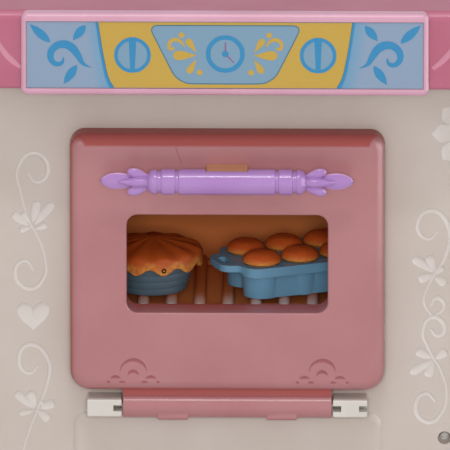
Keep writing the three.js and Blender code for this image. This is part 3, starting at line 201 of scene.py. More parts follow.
# Front panel. One injection moulding in cream plastic, bent round to the sides, with a raised
# field below the oven and vines, a heart and a flower sunk into its face. Two screws behind
# round recesses hold its foot. Sizes are in millimetres until a piece is finished.
MM = 0.001
FACE = -39.0  # the panel's front
WALL = 2.4
FRONT_SCREWS = ((-119, 41), (109, 41))  # the left one, out of the photo, is nearer its side
LINER_SCREW_HEIGHTS = (91.7, 180.7)
LINER_SCREWS = [(x, z) for x in (-86, 86) for z in LINER_SCREW_HEIGHTS]


def limits(node):
    """Left, right, front, back, bottom and top of a CAD node."""
    low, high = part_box(node)
    return [side / MM for pair in zip(low, high) for side in pair]


def face_outward(bm):
    bmesh.ops.recalc_face_normals(bm, faces=bm.faces)
    return bm


def round_corners(bm, verts, radii, segments):
    for vert, radius in zip(verts, radii):
        if radius:
            bmesh.ops.bevel(bm, geom=[vert], offset=radius, segments=segments, profile=0.5,
                            affect="VERTICES", material=-1)


def draw_out(bm, way):
    """Makes a flat sheet into a closed form."""
    grown = bmesh.ops.extrude_face_region(bm, geom=bm.faces[:])["geom"]
    moved = [part for part in grown if isinstance(part, bmesh.types.BMVert)]
    bmesh.ops.translate(bm, vec=way, verts=moved)


def slab(left, right, front, back, bottom, top, corners=0.0, upright=True, segments=6):
    """A closed sheet whose corners are rounded as seen from the front, or from above."""
    bm = bmesh.new()
    if upright:
        outline = ((left, front, bottom), (right, front, bottom),
                   (right, front, top), (left, front, top))
    else:
        outline = ((left, front, bottom), (right, front, bottom),
                   (right, back, bottom), (left, back, bottom))
    verts = [bm.verts.new(place) for place in outline]
    bm.faces.new(verts)
    round_corners(bm, verts, corners if isinstance(corners, tuple) else (corners,) * 4, segments)
    draw_out(bm, (0, back - front, 0) if upright else (0, 0, top - bottom))
    return face_outward(bm)


def about_middle(outline, inset, front, back, segments=8):
    """An upright sheet; its outline (half width, foot, head, corner) is drawn in by the inset."""
    half, foot, head, corner = outline
    return slab(inset - half, half - inset, front, back, foot + inset, head - inset,
                corner - inset, segments=segments)


def edges_at(bm, axis, level):
    """The edges that lie in one plane."""
    return [edge for edge in bm.edges
            if all(abs(vert.co[axis] - level) < 0.001 for vert in edge.verts)]


def round_over(bm, edges, radius, segments=4):
    bmesh.ops.bevel(bm, geom=edges, offset=radius, segments=segments, profile=0.5,
                    affect="EDGES", clamp_overlap=False, material=-1)
    return bm


def round_side(bm, axis, level, radius, segments=4):
    """Rounds every edge in one plane, such as the rim of a moulding's face."""
    return round_over(bm, edges_at(bm, axis, level), radius, segments)


def modified_mesh(thing):
    """The mesh that an object's modifiers, or a curve's own settings, make."""
    graph = bpy.context.evaluated_depsgraph_get()
    return bpy.data.meshes.new_from_object(thing.evaluated_get(graph))


def combine(bm, tools, operation):
    """Cuts the tools out of a mesh, or joins them to it, and gives back the new mesh."""
    things = [add_to_scene("working", as_mesh(part)) for part in (bm, *tools)]
    for thing in things:
        for slot in range(2):
            thing.data.materials.append(None)
    for tool in things[1:]:
        step = things[0].modifiers.new("step", "BOOLEAN")
        step.operation = operation
        step.solver = "EXACT"
        step.use_self = True
        step.object = tool
    made = modified_mesh(things[0])
    result = bmesh.new()
    result.from_mesh(made)
    bpy.data.meshes.remove(made)
    for thing in things:
        mesh = thing.data
        bpy.data.objects.remove(thing)
        bpy.data.meshes.remove(mesh)
    return result


def carve(bm, *tools):
    return combine(bm, tools, "DIFFERENCE")


def join(bm, *tools):
    return combine(bm, tools, "UNION")


def shift(bm, way):
    bmesh.ops.translate(bm, vec=way, verts=bm.verts)


def tilt(bm, axis, degrees):
    bmesh.ops.rotate(bm, matrix=Matrix.Rotation(math.radians(degrees), 3, axis), verts=bm.verts)


def rod(radius, start, end, axis, across, facets=32, end_radius=None):
    """A closed rod or cone along an axis; across is its place on the other two axes."""
    bm = bmesh.new()
    bmesh.ops.create_cone(bm, cap_ends=True, segments=facets, radius1=radius,
                          radius2=radius if end_radius is None else end_radius,
                          depth=end - start)
    shift(bm, (0, 0, (start + end) / 2))
    if axis == 0:
        tilt(bm, "Y", 90)
    elif axis == 1:
        tilt(bm, "X", -90)
    place = list(across)
    place.insert(axis, 0)
    shift(bm, place)
    return bm


def groove(bm, path, widths, depth, face, closed=False):
    """Adds a rod along points (x, z) of a face, as wide as asked and flattened to a depth."""
    curve = bpy.data.curves.new("path", "CURVE")
    curve.dimensions = "3D"
    curve.bevel_depth = 1
    curve.bevel_resolution = 3
    curve.use_fill_caps = True
    curve.resolution_u = 6
    spline = curve.splines.new("BEZIER")
    spline.bezier_points.add(len(path) - 1)
    spline.radius_interpolation = "CARDINAL"
    spline.use_cyclic_u = closed
    for index, (x, z) in enumerate(path):
        point = spline.bezier_points[index]
        point.co = (x, 0, z)
        point.handle_left_type = point.handle_right_type = "AUTO"
        share = index / (len(path) - 1) * (len(widths) - 1)
        low = min(int(share), len(widths) - 2)
        point.radius = (widths[low] + (widths[low + 1] - widths[low]) * (share - low)) / 2
    thing = add_to_scene("path", curve)
    made = modified_mesh(thing)
    flatten = Matrix.Diagonal((1, depth / (max(widths) / 2), 1, 1))
    made.transform(Matrix.Translation((0, face, 0)) @ flatten)
    bm.from_mesh(made)
    bpy.data.meshes.remove(made)
    bpy.data.objects.remove(thing)
    bpy.data.curves.remove(curve)
    return bm


def as_relief(bm):
    """Gives every face the second of its piece's two materials."""
    for face in bm.faces:
        face.material_index = 1
    return bm


def along(start, end, shares):
    """Points on the straight way from one place to another."""
    return [tuple(Vector(start).lerp(Vector(end), share)) for share in shares]


def finish(bm, name, body, material, slot, *nodes, sharp=38, relief_material=None):
    """Makes the piece of a mesh in millimetres, in its place on a body."""
    bmesh.ops.remove_doubles(bm, verts=bm.verts, dist=0.002)
    face_outward(bm)
    bmesh.ops.scale(bm, vec=(MM, MM, MM), verts=bm.verts)
    mesh = as_mesh(bm, name)
    mesh.shade_smooth()
    mesh.set_sharp_from_angle(angle=math.radians(sharp))
    mesh.materials.append(material)
    if relief_material:
        mesh.materials.append(relief_material)
    piece = add_to_scene(name, mesh)
    piece.modifiers.new("even_shading", "WEIGHTED_NORMAL").keep_sharp = True
    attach(piece, body)
    if nodes:
        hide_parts(*nodes)


def between(tree, value, low, high, to_low=0.0, to_high=1.0):
    """The value, brought from one range to another and kept inside it."""
    node = tree.nodes.new("ShaderNodeMapRange")
    fill(tree, node, {"Value": value, "From Min": low, "From Max": high, "To Min": to_low,
                      "To Max": to_high})
    return node.outputs["Result"]


def calculate(tree, operation, first, second):
    node = tree.nodes.new("ShaderNodeMath")
    node.operation = operation
    for entry, value in zip(node.inputs, (first, second)):
        give(tree, entry, value)
    return node.outputs["Value"]


def new_group(name, entries, results):
    """A group of shader nodes with named sockets: (name, kind, value) in, (name, kind) out."""
    group = bpy.data.node_groups.new(name, "ShaderNodeTree")
    for label, kind, value in entries:
        socket = group.interface.new_socket(label, in_out="INPUT", socket_type=kind)
        socket.default_value = value
    for label, kind in results:
        group.interface.new_socket(label, in_out="OUTPUT", socket_type=kind)
    return (group, group.nodes.new("NodeGroupInput").outputs,
            group.nodes.new("NodeGroupOutput"))


# The finish of every moulding: cloudy colour, a fine skin, and edges rounded and made paler, partly
# as wear and partly as a painted highlight.
moulding_group, taken, given = new_group(
    "moulding_finish",
    (("Colour", "NodeSocketColor", (0.5, 0.5, 0.5, 1)),
     ("Cloud Colour", "NodeSocketColor", (0.5, 0.5, 0.5, 1)),
     ("Rubbed And Highlit Colour", "NodeSocketColor", (0.5, 0.5, 0.5, 1)),
     ("Roughness", "NodeSocketFloat", 0.4)),
    (("Colour", "NodeSocketColor"), ("Roughness", "NodeSocketFloat"),
     ("Height", "NodeSocketFloat"), ("Normal", "NodeSocketVector")))
moulding_place = object_place(moulding_group)
clouds = between(
    moulding_group, noise_on(moulding_group, moulding_place, 26.0, 3.0), 0.35, 0.7)
skin = noise_on(moulding_group, moulding_place, 1400.0, 1.0)
scuffs = noise_on(moulding_group, moulding_place, 90.0, 2.0)
rounded = moulding_group.nodes.new("ShaderNodeBevel")
rounded.samples = 6
rounded.inputs["Radius"].default_value = 0.35 * MM
flat_normal = moulding_group.nodes.new("ShaderNodeNewGeometry").outputs["Normal"]
likeness = moulding_group.nodes.new("ShaderNodeVectorMath")
likeness.operation = "DOT_PRODUCT"
for entry, normal in zip(likeness.inputs, (rounded.outputs["Normal"], flat_normal)):
    give(moulding_group, entry, normal)
edge = between(moulding_group, likeness.outputs["Value"], 0.99, 0.8)
# Painted highlight and wear: rounded edges take the paler colour, in patches.
rubbed_and_highlit = calculate(
    moulding_group, "MULTIPLY", edge, between(moulding_group, scuffs, 0.3, 0.6, 0.35, 1.0))
clouded = blend_colours(moulding_group, clouds, taken["Colour"], taken["Cloud Colour"])
dulled = between(moulding_group, scuffs, 0.3, 0.7, -0.02, 0.03)
fill(moulding_group, given, {
    "Colour": blend_colours(moulding_group, rubbed_and_highlit, clouded, taken["Rubbed And Highlit Colour"]),
    "Roughness": calculate(moulding_group, "ADD", taken["Roughness"], dulled),
    "Height": skin,
    "Normal": rounded.outputs["Normal"]})


def moulded_plastic(name, colour, cloud, rubbed_and_highlit, roughness, skin_depth=0.02,
                    edge_colour=None, edge_grain=None):
    """A plastic; where a piece has an edge attribute, it turns to another, duller colour, which is
    painted shade on the door and painted light on the rack and the muffins.
    """
    material, tree, shader = new_material(name)
    group = tree.nodes.new("ShaderNodeGroup")
    group.node_tree = moulding_group
    fill(tree, group, {"Colour": paint(*colour), "Cloud Colour": paint(*cloud),
                       "Rubbed And Highlit Colour": paint(*rubbed_and_highlit), "Roughness": roughness})
    bump = fill(tree, tree.nodes.new("ShaderNodeBump"), {
        "Strength": 0.35, "Distance": skin_depth * MM, "Height": group.outputs["Height"],
        "Normal": group.outputs["Normal"]})
    base = group.outputs["Colour"]
    if edge_colour:
        attribute = tree.nodes.new("ShaderNodeAttribute")
        attribute.attribute_name = "edge"
        share = attribute.outputs["Fac"]
        if edge_grain:
            grains = noise_on(tree, object_place(tree), edge_grain)
            grain = between(tree, grains, 0.38, 0.62, 0.35, 1.0)
            share = calculate(tree, "MULTIPLY", share, grain)
        base = blend_colours(tree, share, base, paint(*edge_colour))
        fill(tree, shader, {"Specular IOR Level": between(tree, share, 0, 1, 0.5, 0.05)})
    fill(tree, shader, {"Base Color": base, "Roughness": group.outputs["Roughness"],
                        "Normal": bump.outputs["Normal"]})
    return material


cream = moulded_plastic(
    "cream_moulding", (201, 190, 182), (196, 184, 175), (212, 204, 196), 0.42)

left, right, front, back, bottom, top = limits("front_panel")
front_panel = carve(
    slab(left, right, FACE, back, bottom, top, (6, 6, 0, 0), upright=False),
    slab(left + WALL, right - WALL, FACE + WALL, back + 1, bottom - 1, top + 1,
         (3.6, 3.6, 0, 0), upright=False))
LOWER_FIELD = (78.7, 12.8, 55.7, 8.7)
OPENING = (70, 77.7, 193.7, 8)
lower_field = about_middle(LOWER_FIELD, 0, front, front + 9, 12)
round_side(lower_field, 1, front, 5, 12)
# Only what stands out of the panel's face is kept, closed again behind.
cut = bmesh.ops.bisect_plane(
    lower_field, geom=lower_field.verts[:] + lower_field.edges[:] + lower_field.faces[:],
    plane_co=(0, FACE + 1, 0), plane_no=(0, 1, 0), clear_outer=True)["geom_cut"]
bmesh.ops.edgeloop_fill(
    lower_field, edges=[part for part in cut if isinstance(part, bmesh.types.BMEdge)])
front_panel = join(front_panel, face_outward(lower_field))
ear_bosses = [rod(3.85, FACE + 1, -31.3, 1, place) for place in LINER_SCREWS]
screw_bosses = [rod(5.8, FACE + 1, -32.1, 1, place) for place in FRONT_SCREWS]
front_panel = join(front_panel, *ear_bosses, *screw_bosses)
opening = about_middle(OPENING, 0, FACE - 5, FACE + 5, 10)
screw_recesses = [rod(3.4, FACE - 1, FACE + 4.5, 1, place, 40) for place in FRONT_SCREWS]
front_panel = carve(front_panel, opening, *screw_recesses)

# Stems are broad in their curls and narrow between them; leaves are hollowed like spoons.
CURL = (1.0, 2.5, 2.4, 1.4, 1.2)
TWO_CURLS = (1.0, 2.5, 2.4, 1.5, 1.2, 1.5, 2.3, 2.6, 1.1)
LEAF = (1.2, 3.3, 4.5, 5.0, 4.6, 3.2, 0.6)
SMALL_LEAF = (1.0, 2.4, 3.2, 3.6, 3.3, 2.3, 0.5)
LEAF_STEPS = (0, 0.25, 0.5, 0.72, 0.86, 0.95, 1)
STEM_DEPTH, LEAF_DEPTH, HEART_DEPTH, PETAL_DEPTH = 0.8, 1.0, 1.2, 0.9
relief = bmesh.new()
vine_stems = (
    ((-100.3, 178.5), (-95.3, 173.6), (-89.8, 180.3), (-96.8, 188.9), (-105.0, 180.3),
     (-103.8, 169.9), (-98.8, 152.3), (-94.8, 145.0), (-91.3, 132.5), (-91.8, 124.7),
     (-98.8, 118.4), (-106.3, 125.7), (-101.8, 133.0), (-96.8, 127.3)),
    ((-94.8, 78.4), (-99.8, 74.2), (-104.6, 81.5), (-99.3, 89.3), (-89.9, 80.5),
     (-90.5, 69.0), (-94.8, 57.1), (-100.8, 40.4), (-103.8, 28.0)),
    ((105.7, 149.1), (100.5, 145.0), (95.2, 151.7), (102.0, 159.7), (111.0, 150.7),
     (108.7, 134.8), (104.5, 127.8), (100.0, 119.0), (98.6, 111.8), (103.0, 104.2)),
    ((101.7, 109.9), (105.2, 114.3), (108.7, 110.1), (103.0, 104.2)),
    ((101.7, 98.2), (105.7, 94.5), (108.9, 98.9), (103.0, 104.2), (98.1, 97.1),
     (100.7, 88.3), (103.0, 83.6), (107.2, 76.3), (110.0, 63.8), (107.7, 54.5),
     (101.2, 49.3), (94.5, 56.5), (99.2, 64.3), (104.7, 59.9)),
)
leaves = (
    ((-97.3, 153.3), (-95.3, 164.2), LEAF), ((-96.5, 152.0), (-87.3, 163.2), LEAF),
    ((-96.5, 149.5), (-90.3, 151.7), SMALL_LEAF), ((-99.8, 151.5), (-107.8, 157.5), LEAF),
    ((-99.1, 153.0), (-102.8, 158.0), SMALL_LEAF), ((-98.5, 150.5), (-104.3, 148.6), SMALL_LEAF),
    ((-97.3, 56.0), (-106.5, 64.3), LEAF), ((-96.5, 56.5), (-99.3, 64.9), LEAF),
    ((-97.5, 54.5), (-104.8, 53.2), SMALL_LEAF), ((-94.1, 57.6), (-92.3, 59.4), SMALL_LEAF),
    ((-94.0, 56.0), (-86.8, 58.8), LEAF), ((-95.0, 54.5), (-89.3, 49.8), LEAF),
    ((103.2, 127.8), (92.7, 135.3), LEAF), ((103.7, 128.2), (101.0, 136.4), LEAF),
    ((102.8, 126.3), (95.7, 123.6), LEAF), ((104.5, 127.0), (108.2, 130.4), SMALL_LEAF),
    ((104.1, 125.0), (109.7, 121.6), LEAF), ((102.5, 82.8), (94.7, 86.7), LEAF),
    ((102.8, 81.5), (91.7, 74.8), LEAF), ((103.5, 81.0), (100.2, 72.9), LEAF),
    ((104.5, 82.5), (110.0, 86.7), LEAF),
)
for path in vine_stems:
    curls_at_both_ends = len(path) > 12
    groove(relief, path, TWO_CURLS if curls_at_both_ends else CURL, STEM_DEPTH, FACE)
for root, tip, widths in leaves:
    groove(relief, along(root, tip, LEAF_STEPS), widths, LEAF_DEPTH, FACE)
heart_lobes = (
    ((-97.3, 97.0), (-98.8, 100.6), (-100.6, 104.2), (-101.9, 107.2), (-102.5, 109.5),
     (-102.8, 111.3)),
    ((-97.3, 97.0), (-96.0, 100.8), (-94.3, 104.6), (-93.0, 107.6), (-92.4, 109.8),
     (-92.1, 111.6)),
)
for lobe in heart_lobes:
    groove(relief, lobe, (0.6, 4.8, 7.8, 8.2, 6.0, 1.0), HEART_DEPTH, FACE)
FLOWER = (121.2, 199.6)
PETALS = 8
for petal in range(PETALS):
    turn = 2 * math.pi * petal / PETALS
    path = [(FLOWER[0] + reach * math.sin(turn), FLOWER[1] + reach * math.cos(turn))
            for reach in (5.0, 8.5, 12.0, 15.5, 19.0)]
    groove(relief, path, (1.5, 7.0, 9.5, 9.0, 1.0), PETAL_DEPTH, FACE)
front_panel = carve(front_panel, as_relief(relief))
# The sunk vines, heart and flower are painted paler than the face, a painted highlight that shows
# the relief.
cream_relief_highlight = moulded_plastic(
    "cream_relief", (214, 206, 201), (209, 200, 194), (222, 216, 210), 0.4)
finish(front_panel, "front_moulding", "cabinet", cream, "cream_plastic", "front_panel",
       relief_material=cream_relief_highlight)

# Sides, back and base. Flat cream mouldings with turned-in edges, screwed to each other; the
# base has four short feet.


def cover(node, material):
    """Gives its material to a CAD piece that stays in sight."""
    materials = frame["nodes"][node].data.materials
    materials.clear()
    materials.append(material)


for node in ("side_panel_left", "side_panel_right", "back_panel", "base_plate"):
    cover(node, cream)

# Worktop. A hollow moulding in pink plastic with a rounded edge that stands out over the
# front, two ring-shaped burners sunk in its top, and ribs under the overhang.
worktop_pink = moulded_plastic(
    "worktop_moulding", (182, 102, 126), (176, 94, 118), (206, 142, 162), 0.3)
left, right, front, back, bottom, top = worktop_box = limits("worktop")
FRONT_CORNER, BACK_CORNER, TOP_EDGE, LOWER_EDGE = 12, 6, 5.2, 2.0
TOP_WALL = 2.6


def worktop_body(grow):
    """The worktop's outside; the control panel's frame is cut to a slightly larger one."""
    left, right, front, back, bottom, top = worktop_box
    corners = tuple(radius + grow for radius in (FRONT_CORNER,) * 2 + (BACK_CORNER,) * 2)
    body = slab(left - grow, right + grow, front - grow, back + grow, bottom - grow, top + grow,
                corners, upright=False, segments=8)
    round_side(body, 2, top + grow, TOP_EDGE + grow, 8)
    return round_side(body, 2, bottom - grow, LOWER_EDGE + grow)


worktop = carve(
    worktop_body(0),
    slab(left + TOP_WALL, right - TOP_WALL, front + TOP_WALL, back - TOP_WALL, bottom - 1,
         top - 3, (FRONT_CORNER - TOP_WALL,) * 2 + (1, 1), upright=False))
RIB_PITCH = 28
RIB_HALF = 0.9
ribs = [slab(x - RIB_HALF, x + RIB_HALF, front + 1.6, FACE - 0.3, bottom + 2, top - 2)
        for x in range(-5 * RIB_PITCH, 6 * RIB_PITCH, RIB_PITCH)]
worktop = join(worktop, *ribs)


def turned(profile, centre, steps, closed=False):
    """A form turned about an upright axis; the profile is (radius, height), pole to pole."""
    bm = bmesh.new()
    verts = [bm.verts.new((radius, 0, height)) for radius, height in profile]
    edges = [bm.edges.new(pair) for pair in zip(verts, verts[1:] + verts[:1] * closed)]
    bmesh.ops.spin(bm, geom=verts + edges, cent=(0, 0, 0), axis=(0, 0, 1), angle=2 * math.pi,
                   steps=steps, use_merge=True)
    bmesh.ops.remove_doubles(bm, verts=bm.verts, dist=0.0005)
    face_outward(bm)
    shift(bm, centre)
    return bm


BURNERS = ((-68, (front + back) / 2, top), (68, (front + back) / 2, top))
RING_WIDTH = 2.6
burner_rings = [
    turned(((radius, 1), (radius, -1), (radius - RING_WIDTH, -1), (radius - RING_WIDTH, 1)),
           middle, 64, closed=True)
    for middle in BURNERS for radius in (36, 18)]


def both_sides(path):
    """A path on the right or left, and its mirror image on the other side."""
    return path, [(-x, z) for x, z in path]


swags = bmesh.new()
for path in both_sides([(115.6, 259.0), (111.9, 251.9), (107.6, 246.6), (102.6, 242.4)]):
    groove(swags, path, (1.0, 2.6, 3.0, 2.0), 0.4, front)
worktop = carve(worktop, as_relief(swags), *burner_rings)
# The swags are painted a paler pink, a painted highlight along them.
worktop_relief_highlight = moulded_plastic(
    "worktop_relief", (206, 138, 160), (200, 130, 152), (216, 158, 178), 0.3)
finish(worktop, "worktop_moulding", "cabinet", worktop_pink, "worktop_plastic", "worktop",
       relief_material=worktop_relief_highlight)

# Control panel frame. A paler pink moulding hooked over the worktop's front edge, a little to
# the left of its middle, with a pocket for the printed label.
PANEL_ASIDE = -0.9
panel_pink = moulded_plastic(
    "panel_moulding", (211, 160, 181), (205, 152, 173), (228, 188, 206), 0.24)
left, right, front, back, bottom, top = limits("control_frame")
control_frame = slab(left + PANEL_ASIDE, right + PANEL_ASIDE, front, back, bottom, top, 3.4,
                     segments=8)
round_side(control_frame, 1, front, 2.6, 6)
label_box = limits("control_label")
POCKET_HALF = 99.1
SEAT = 0.3
pocket = slab(PANEL_ASIDE - POCKET_HALF, PANEL_ASIDE + POCKET_HALF, front - 1, front + 1.5,
              label_box[4] - SEAT, label_box[5] + SEAT, 0.6)
control_frame = carve(control_frame, pocket, worktop_body(SEAT))
finish(control_frame, "control_panel_frame", "cabinet", panel_pink, "panel_frame_plastic",
       "control_frame")

# Printed label. A stiff card let into the frame, printed in blue, yellow and purple with two
# knobs, a clock and scrolls; each ink lies a hair above what is under it.
INK = 0.03
PRINT_ASIDE = -0.7
STRIPE_FOOT = (58.5, 232.9)
STRIPE_SLANT = 0.17


def printed(name, colour, shade, shade_where=None):
    """Ink on card: where the mask is full, it is printed in the deeper shade."""
    material, tree, shader = new_material(name)
    place = object_place(tree)
    if shade_where:
        mask = shade_where(tree, place)
    else:
        attribute = tree.nodes.new("ShaderNodeAttribute")
        attribute.attribute_name = "shade"
        mask = attribute.outputs["Fac"]
    speckle = between(tree, noise_on(tree, place, 2600.0, 2.0), 0.4, 0.65)
    softened = calculate(tree, "MULTIPLY", mask, between(tree, speckle, 0, 1, 1.0, 0.8))
    inked = blend_colours(tree, softened, paint(*colour), paint(*shade))
    specks = calculate(tree, "MULTIPLY", speckle, 0.12)
    grain = blend_colours(tree, specks, inked, paint(*shade))
    fill(tree, shader, {"Base Color": grain, "Roughness": between(tree, speckle, 0, 1, 0.36, 0.46)})
    return material


def beside_stripe(tree, place):
    """Full at each slanting stripe, fading out towards the label's end."""
    parts = tree.nodes.new("ShaderNodeSeparateXYZ")
    tree.links.new(place, parts.inputs[0])
    sideways = calculate(tree, "ABSOLUTE", parts.outputs["X"], 0.0)
    height = calculate(tree, "SUBTRACT", parts.outputs["Z"], STRIPE_FOOT[1] * MM)
    slant = calculate(tree, "MULTIPLY", height, STRIPE_SLANT)
    stripe = calculate(tree, "ADD", slant, STRIPE_FOOT[0] * MM)
    return between(tree, calculate(tree, "SUBTRACT", sideways, stripe), 0.0005, 0.0075, 1.0, 0.0)


MIDDLE_BLUE = (104, 152, 186)
OUTLINE_TEAL = (58, 112, 132)
card_blue = printed("label_card", (136, 155, 179), MIDDLE_BLUE, beside_stripe)
field_blue = printed("label_field", (120, 152, 175), MIDDLE_BLUE)
ink_blue = printed("ink_blue", (48, 134, 182), (52, 122, 166))
ink_teal = printed("ink_teal", OUTLINE_TEAL, OUTLINE_TEAL)
ink_yellow = printed("ink_yellow", (191, 157, 67), (179, 145, 61))
ink_purple = printed("ink_purple", (140, 84, 140), (120, 66, 124))
left, right, front, back, bottom, top = label_box
LINE_FACE = front - 3.4 * INK
finish(slab(left + PANEL_ASIDE, right + PANEL_ASIDE, front, back, bottom, top, 0.4),
       "label_card", "cabinet", card_blue, "printed_label", "control_label")


def field(outline, layer, corners=(), edge=0.0):
    """A printed area, some layers above the card; its edge may be shaded as wide as asked."""
    bm = bmesh.new()
    level = front - layer * INK
    verts = [bm.verts.new((x, level, z)) for x, z in outline]
    bm.faces.new(verts)
    round_corners(bm, verts, corners, 8)
    bm.normal_update()
    shade = bm.verts.layers.float.new("shade")
    if edge:
        outer = set(bm.verts)
        bmesh.ops.inset_region(bm, faces=bm.faces[:], thickness=edge, use_even_offset=True)
        for vert in bm.verts:
            vert[shade] = 0.0 if vert in outer else 1.0
    draw_out(bm, (0, INK * 0.8, 0))
    return bm


def line(bm, path, widths, height=1.0, closed=False):
    """Adds a printed stroke, which lies above the printed areas."""
    groove(bm, path, widths, height * INK, LINE_FACE, closed)


def print_on_card(bm, name, ink):
    """Everything is printed a little to the left of the card's middle."""
    shift(bm, (PRINT_ASIDE, 0, 0))
    finish(bm, name, "cabinet", ink, "printed_label")


def gather(parts):
    """One mesh of several separate printed areas."""
    bm = bmesh.new()
    for part in parts:
        mesh = as_mesh(part)
        bm.from_mesh(mesh)
        bpy.data.meshes.remove(mesh)
    return bm


def around(x, z, radius, points=32):
    return [(x + radius * math.cos(2 * math.pi * step / points),
             z + radius * math.sin(2 * math.pi * step / points)) for step in range(points)]


STRIPE = ((-64.1, top - 0.1), (-63.0, 259.4), (-62.0, 252.9), (-60.8, 246.4), (-59.4, 239.9),
          (-58.0, 236.0), (-56.4, bottom + 0.1))
# First the printed areas: the yellow one between the stripes, then those in blue.
left_side, right_side = both_sides(STRIPE)
yellow_field = field((*left_side, *reversed(right_side)), 1)
print_on_card(yellow_field, "label_yellow_field", ink_yellow)
CARTOUCHE = ((-38.2, 265.2), (-23.4, 235.2), (23.4, 235.2), (38.2, 265.2))
CARTOUCHE_CORNERS = (4.4, 6.5, 6.5, 4.4)
CARTOUCHE_MIDDLE = 251.0
KNOBS = ((-46.2, 249.9), (46.2, 249.9))
CLOCK = (0.0, 250.6)
blue_fields = [field(CARTOUCHE, 2, CARTOUCHE_CORNERS, 4.5),
               field(around(*CLOCK, 8.2), 3, (), 2.4)]
blue_fields += [field(around(*knob, 8.0), 2, (), 3.0) for knob in KNOBS]
print_on_card(gather(blue_fields), "label_blue_fields", field_blue)
# Then the strokes: stripes, knobs, clock, scrolls and pointed leaves in blue.
blue_lines = bmesh.new()
for stripe in both_sides(STRIPE):
    line(blue_lines, stripe, (1.1, 1.3, 1.6, 2.2))
for x, z in KNOBS:
    line(blue_lines, around(x, z, 8.2, 8), (1.9, 1.9), closed=True)
    line(blue_lines, [(x, z - 7.2), (x, z + 9.2)], (2.4, 3.8), 1.2)
line(blue_lines, around(*CLOCK, 8.5, 8), (2.4, 2.4), closed=True)
for scroll in both_sides([(-66.8, 243.4), (-70.6, 245.3), (-73.6, 250.1), (-76.8, 254.0),
                          (-80.8, 255.4), (-85.2, 253.7), (-87.1, 249.9), (-85.8, 246.2),
                          (-83.0, 245.1), (-81.0, 246.4), (-80.7, 248.6)]):
    line(blue_lines, scroll, (0.3, 1.9, 3.6, 4.4, 4.2, 3.8, 3.4, 2.8, 2.3, 1.7, 0.6))
PETAL_STEPS = (0, 0.2, 0.4, 0.6, 0.78, 0.92, 1)
POINTED = (0.3, 2.6, 4.0, 4.4, 3.4, 1.8, 0.3)
for start, end in (((-97.2, 265.6), (-87.2, 256.4)), ((-75.8, 257.6), (-69.6, 265.2)),
                   ((-80.4, 235.0), (-73.9, 244.6))):
    for path in both_sides(along(start, end, PETAL_STEPS)):
        line(blue_lines, path, POINTED)
print_on_card(blue_lines, "label_blue_lines", ink_blue)
# A thin teal line goes round the middle area and beside each stripe.
teal_line = bmesh.new()
outline = field(CARTOUCHE, 0, CARTOUCHE_CORNERS)
ring = [vert for vert in outline.verts if abs(vert.co.y - front) < 0.001]
ring.sort(key=lambda vert: math.atan2(vert.co.z - CARTOUCHE_MIDDLE, vert.co.x))
line(teal_line, [(vert.co.x, vert.co.z) for vert in ring], (0.55, 0.55), closed=True)
for stripe in both_sides([(x + 0.7, z) for x, z in STRIPE]):
    line(teal_line, stripe, (0.4, 0.4))
outline.free()
print_on_card(teal_line, "label_outline", ink_teal)
# Petals, a hook and two dots in yellow on each side of the clock, and last its hands.
yellow_print = bmesh.new()
PETAL = (0.4, 1.2, 2.3, 3.2, 3.5, 2.8, 0.7)
BROAD_PETAL = (0.4, 1.6, 3.4, 4.8, 5.0, 4.0, 1.0)
for start, end, widths in (((-14.5, 251.4), (-19.1, 258.3), PETAL),
                           ((-14.2, 249.8), (-26.0, 249.8), BROAD_PETAL),
                           ((-14.4, 247.7), (-18.6, 240.6), PETAL)):
    for path in both_sides(along(start, end, PETAL_STEPS)):
        line(yellow_print, path, widths)
for path in both_sides([(-20.2, 254.4), (-23.2, 257.6), (-26.4, 257.6), (-28.0, 255.2),
                        (-27.1, 253.0), (-25.4, 253.8)]):
    line(yellow_print, path, (0.8, 1.9, 2.0, 1.9, 1.7, 1.2))
DOT_STEPS = (0, 0.15, 0.5, 0.85, 1)
for x, z in ((-21.8, 260.3), (-12.8, 241.0), (21.8, 260.3), (12.8, 241.0)):
    line(yellow_print, along((x - 1.5, z), (x + 1.5, z), DOT_STEPS), (0.6, 2.2, 3.0, 2.2, 0.6))
print_on_card(yellow_print, "label_ornaments", ink_yellow)
hub = bmesh.new()
line(hub, along((-1.7, CLOCK[1]), (1.7, CLOCK[1]), DOT_STEPS), (0.8, 2.6, 3.4, 2.6, 0.8), 1.4)
print_on_card(hub, "label_clock_hub", ink_blue)
purple_print = bmesh.new()
for hand_end in ((0, 256.8), (4.3, 246.0)):
    line(purple_print, [CLOCK, hand_end], (0.8, 0.6))
print_on_card(purple_print, "label_clock_hands", ink_purple)

# Oven liner and door catch. A tub in brown plastic behind the opening, with a shelf that
# carries the rack, and a white tongue under its ceiling that holds the door shut.
oven_brown = moulded_plastic(
    "liner_moulding", (216, 128, 72), (210, 120, 64), (224, 140, 84), 0.5)
left, right, front, back, bottom, top = limits("oven_liner")
TUB = (80, bottom, top, 12)
TUB_WALL = 2
within = TUB[0] - TUB_WALL / 2  # the middle of a side wall, where shelf and ears begin
liner = carve(about_middle(TUB, 0, front, back, 10),
              about_middle(TUB, TUB_WALL, front - 1, back - TUB_WALL, 10))
SHELF_LOW, SHELF_TOP = 101.7, 104.7
shelf = slab(-within, within, front + 4, back - 1, SHELF_LOW, SHELF_TOP)
ears = [slab(inner, outer, front + 5.3, front + 7.3, z - 6, z + 6, 1.5)
        for inner, outer in ((left, -within), (within, right)) for z in LINER_SCREW_HEIGHTS]
liner = join(liner, shelf, *ears)
liner = carve(liner, *[rod(1.45, front + 4, front + 9, 1, place) for place in LINER_SCREWS])
finish(liner, "oven_tub", "cabinet", oven_brown, "liner_plastic", "oven_liner")
white = moulded_plastic(
    "white_moulding", (217, 212, 205), (210, 204, 196), (230, 226, 221), 0.38)
cover("door_catch", white)
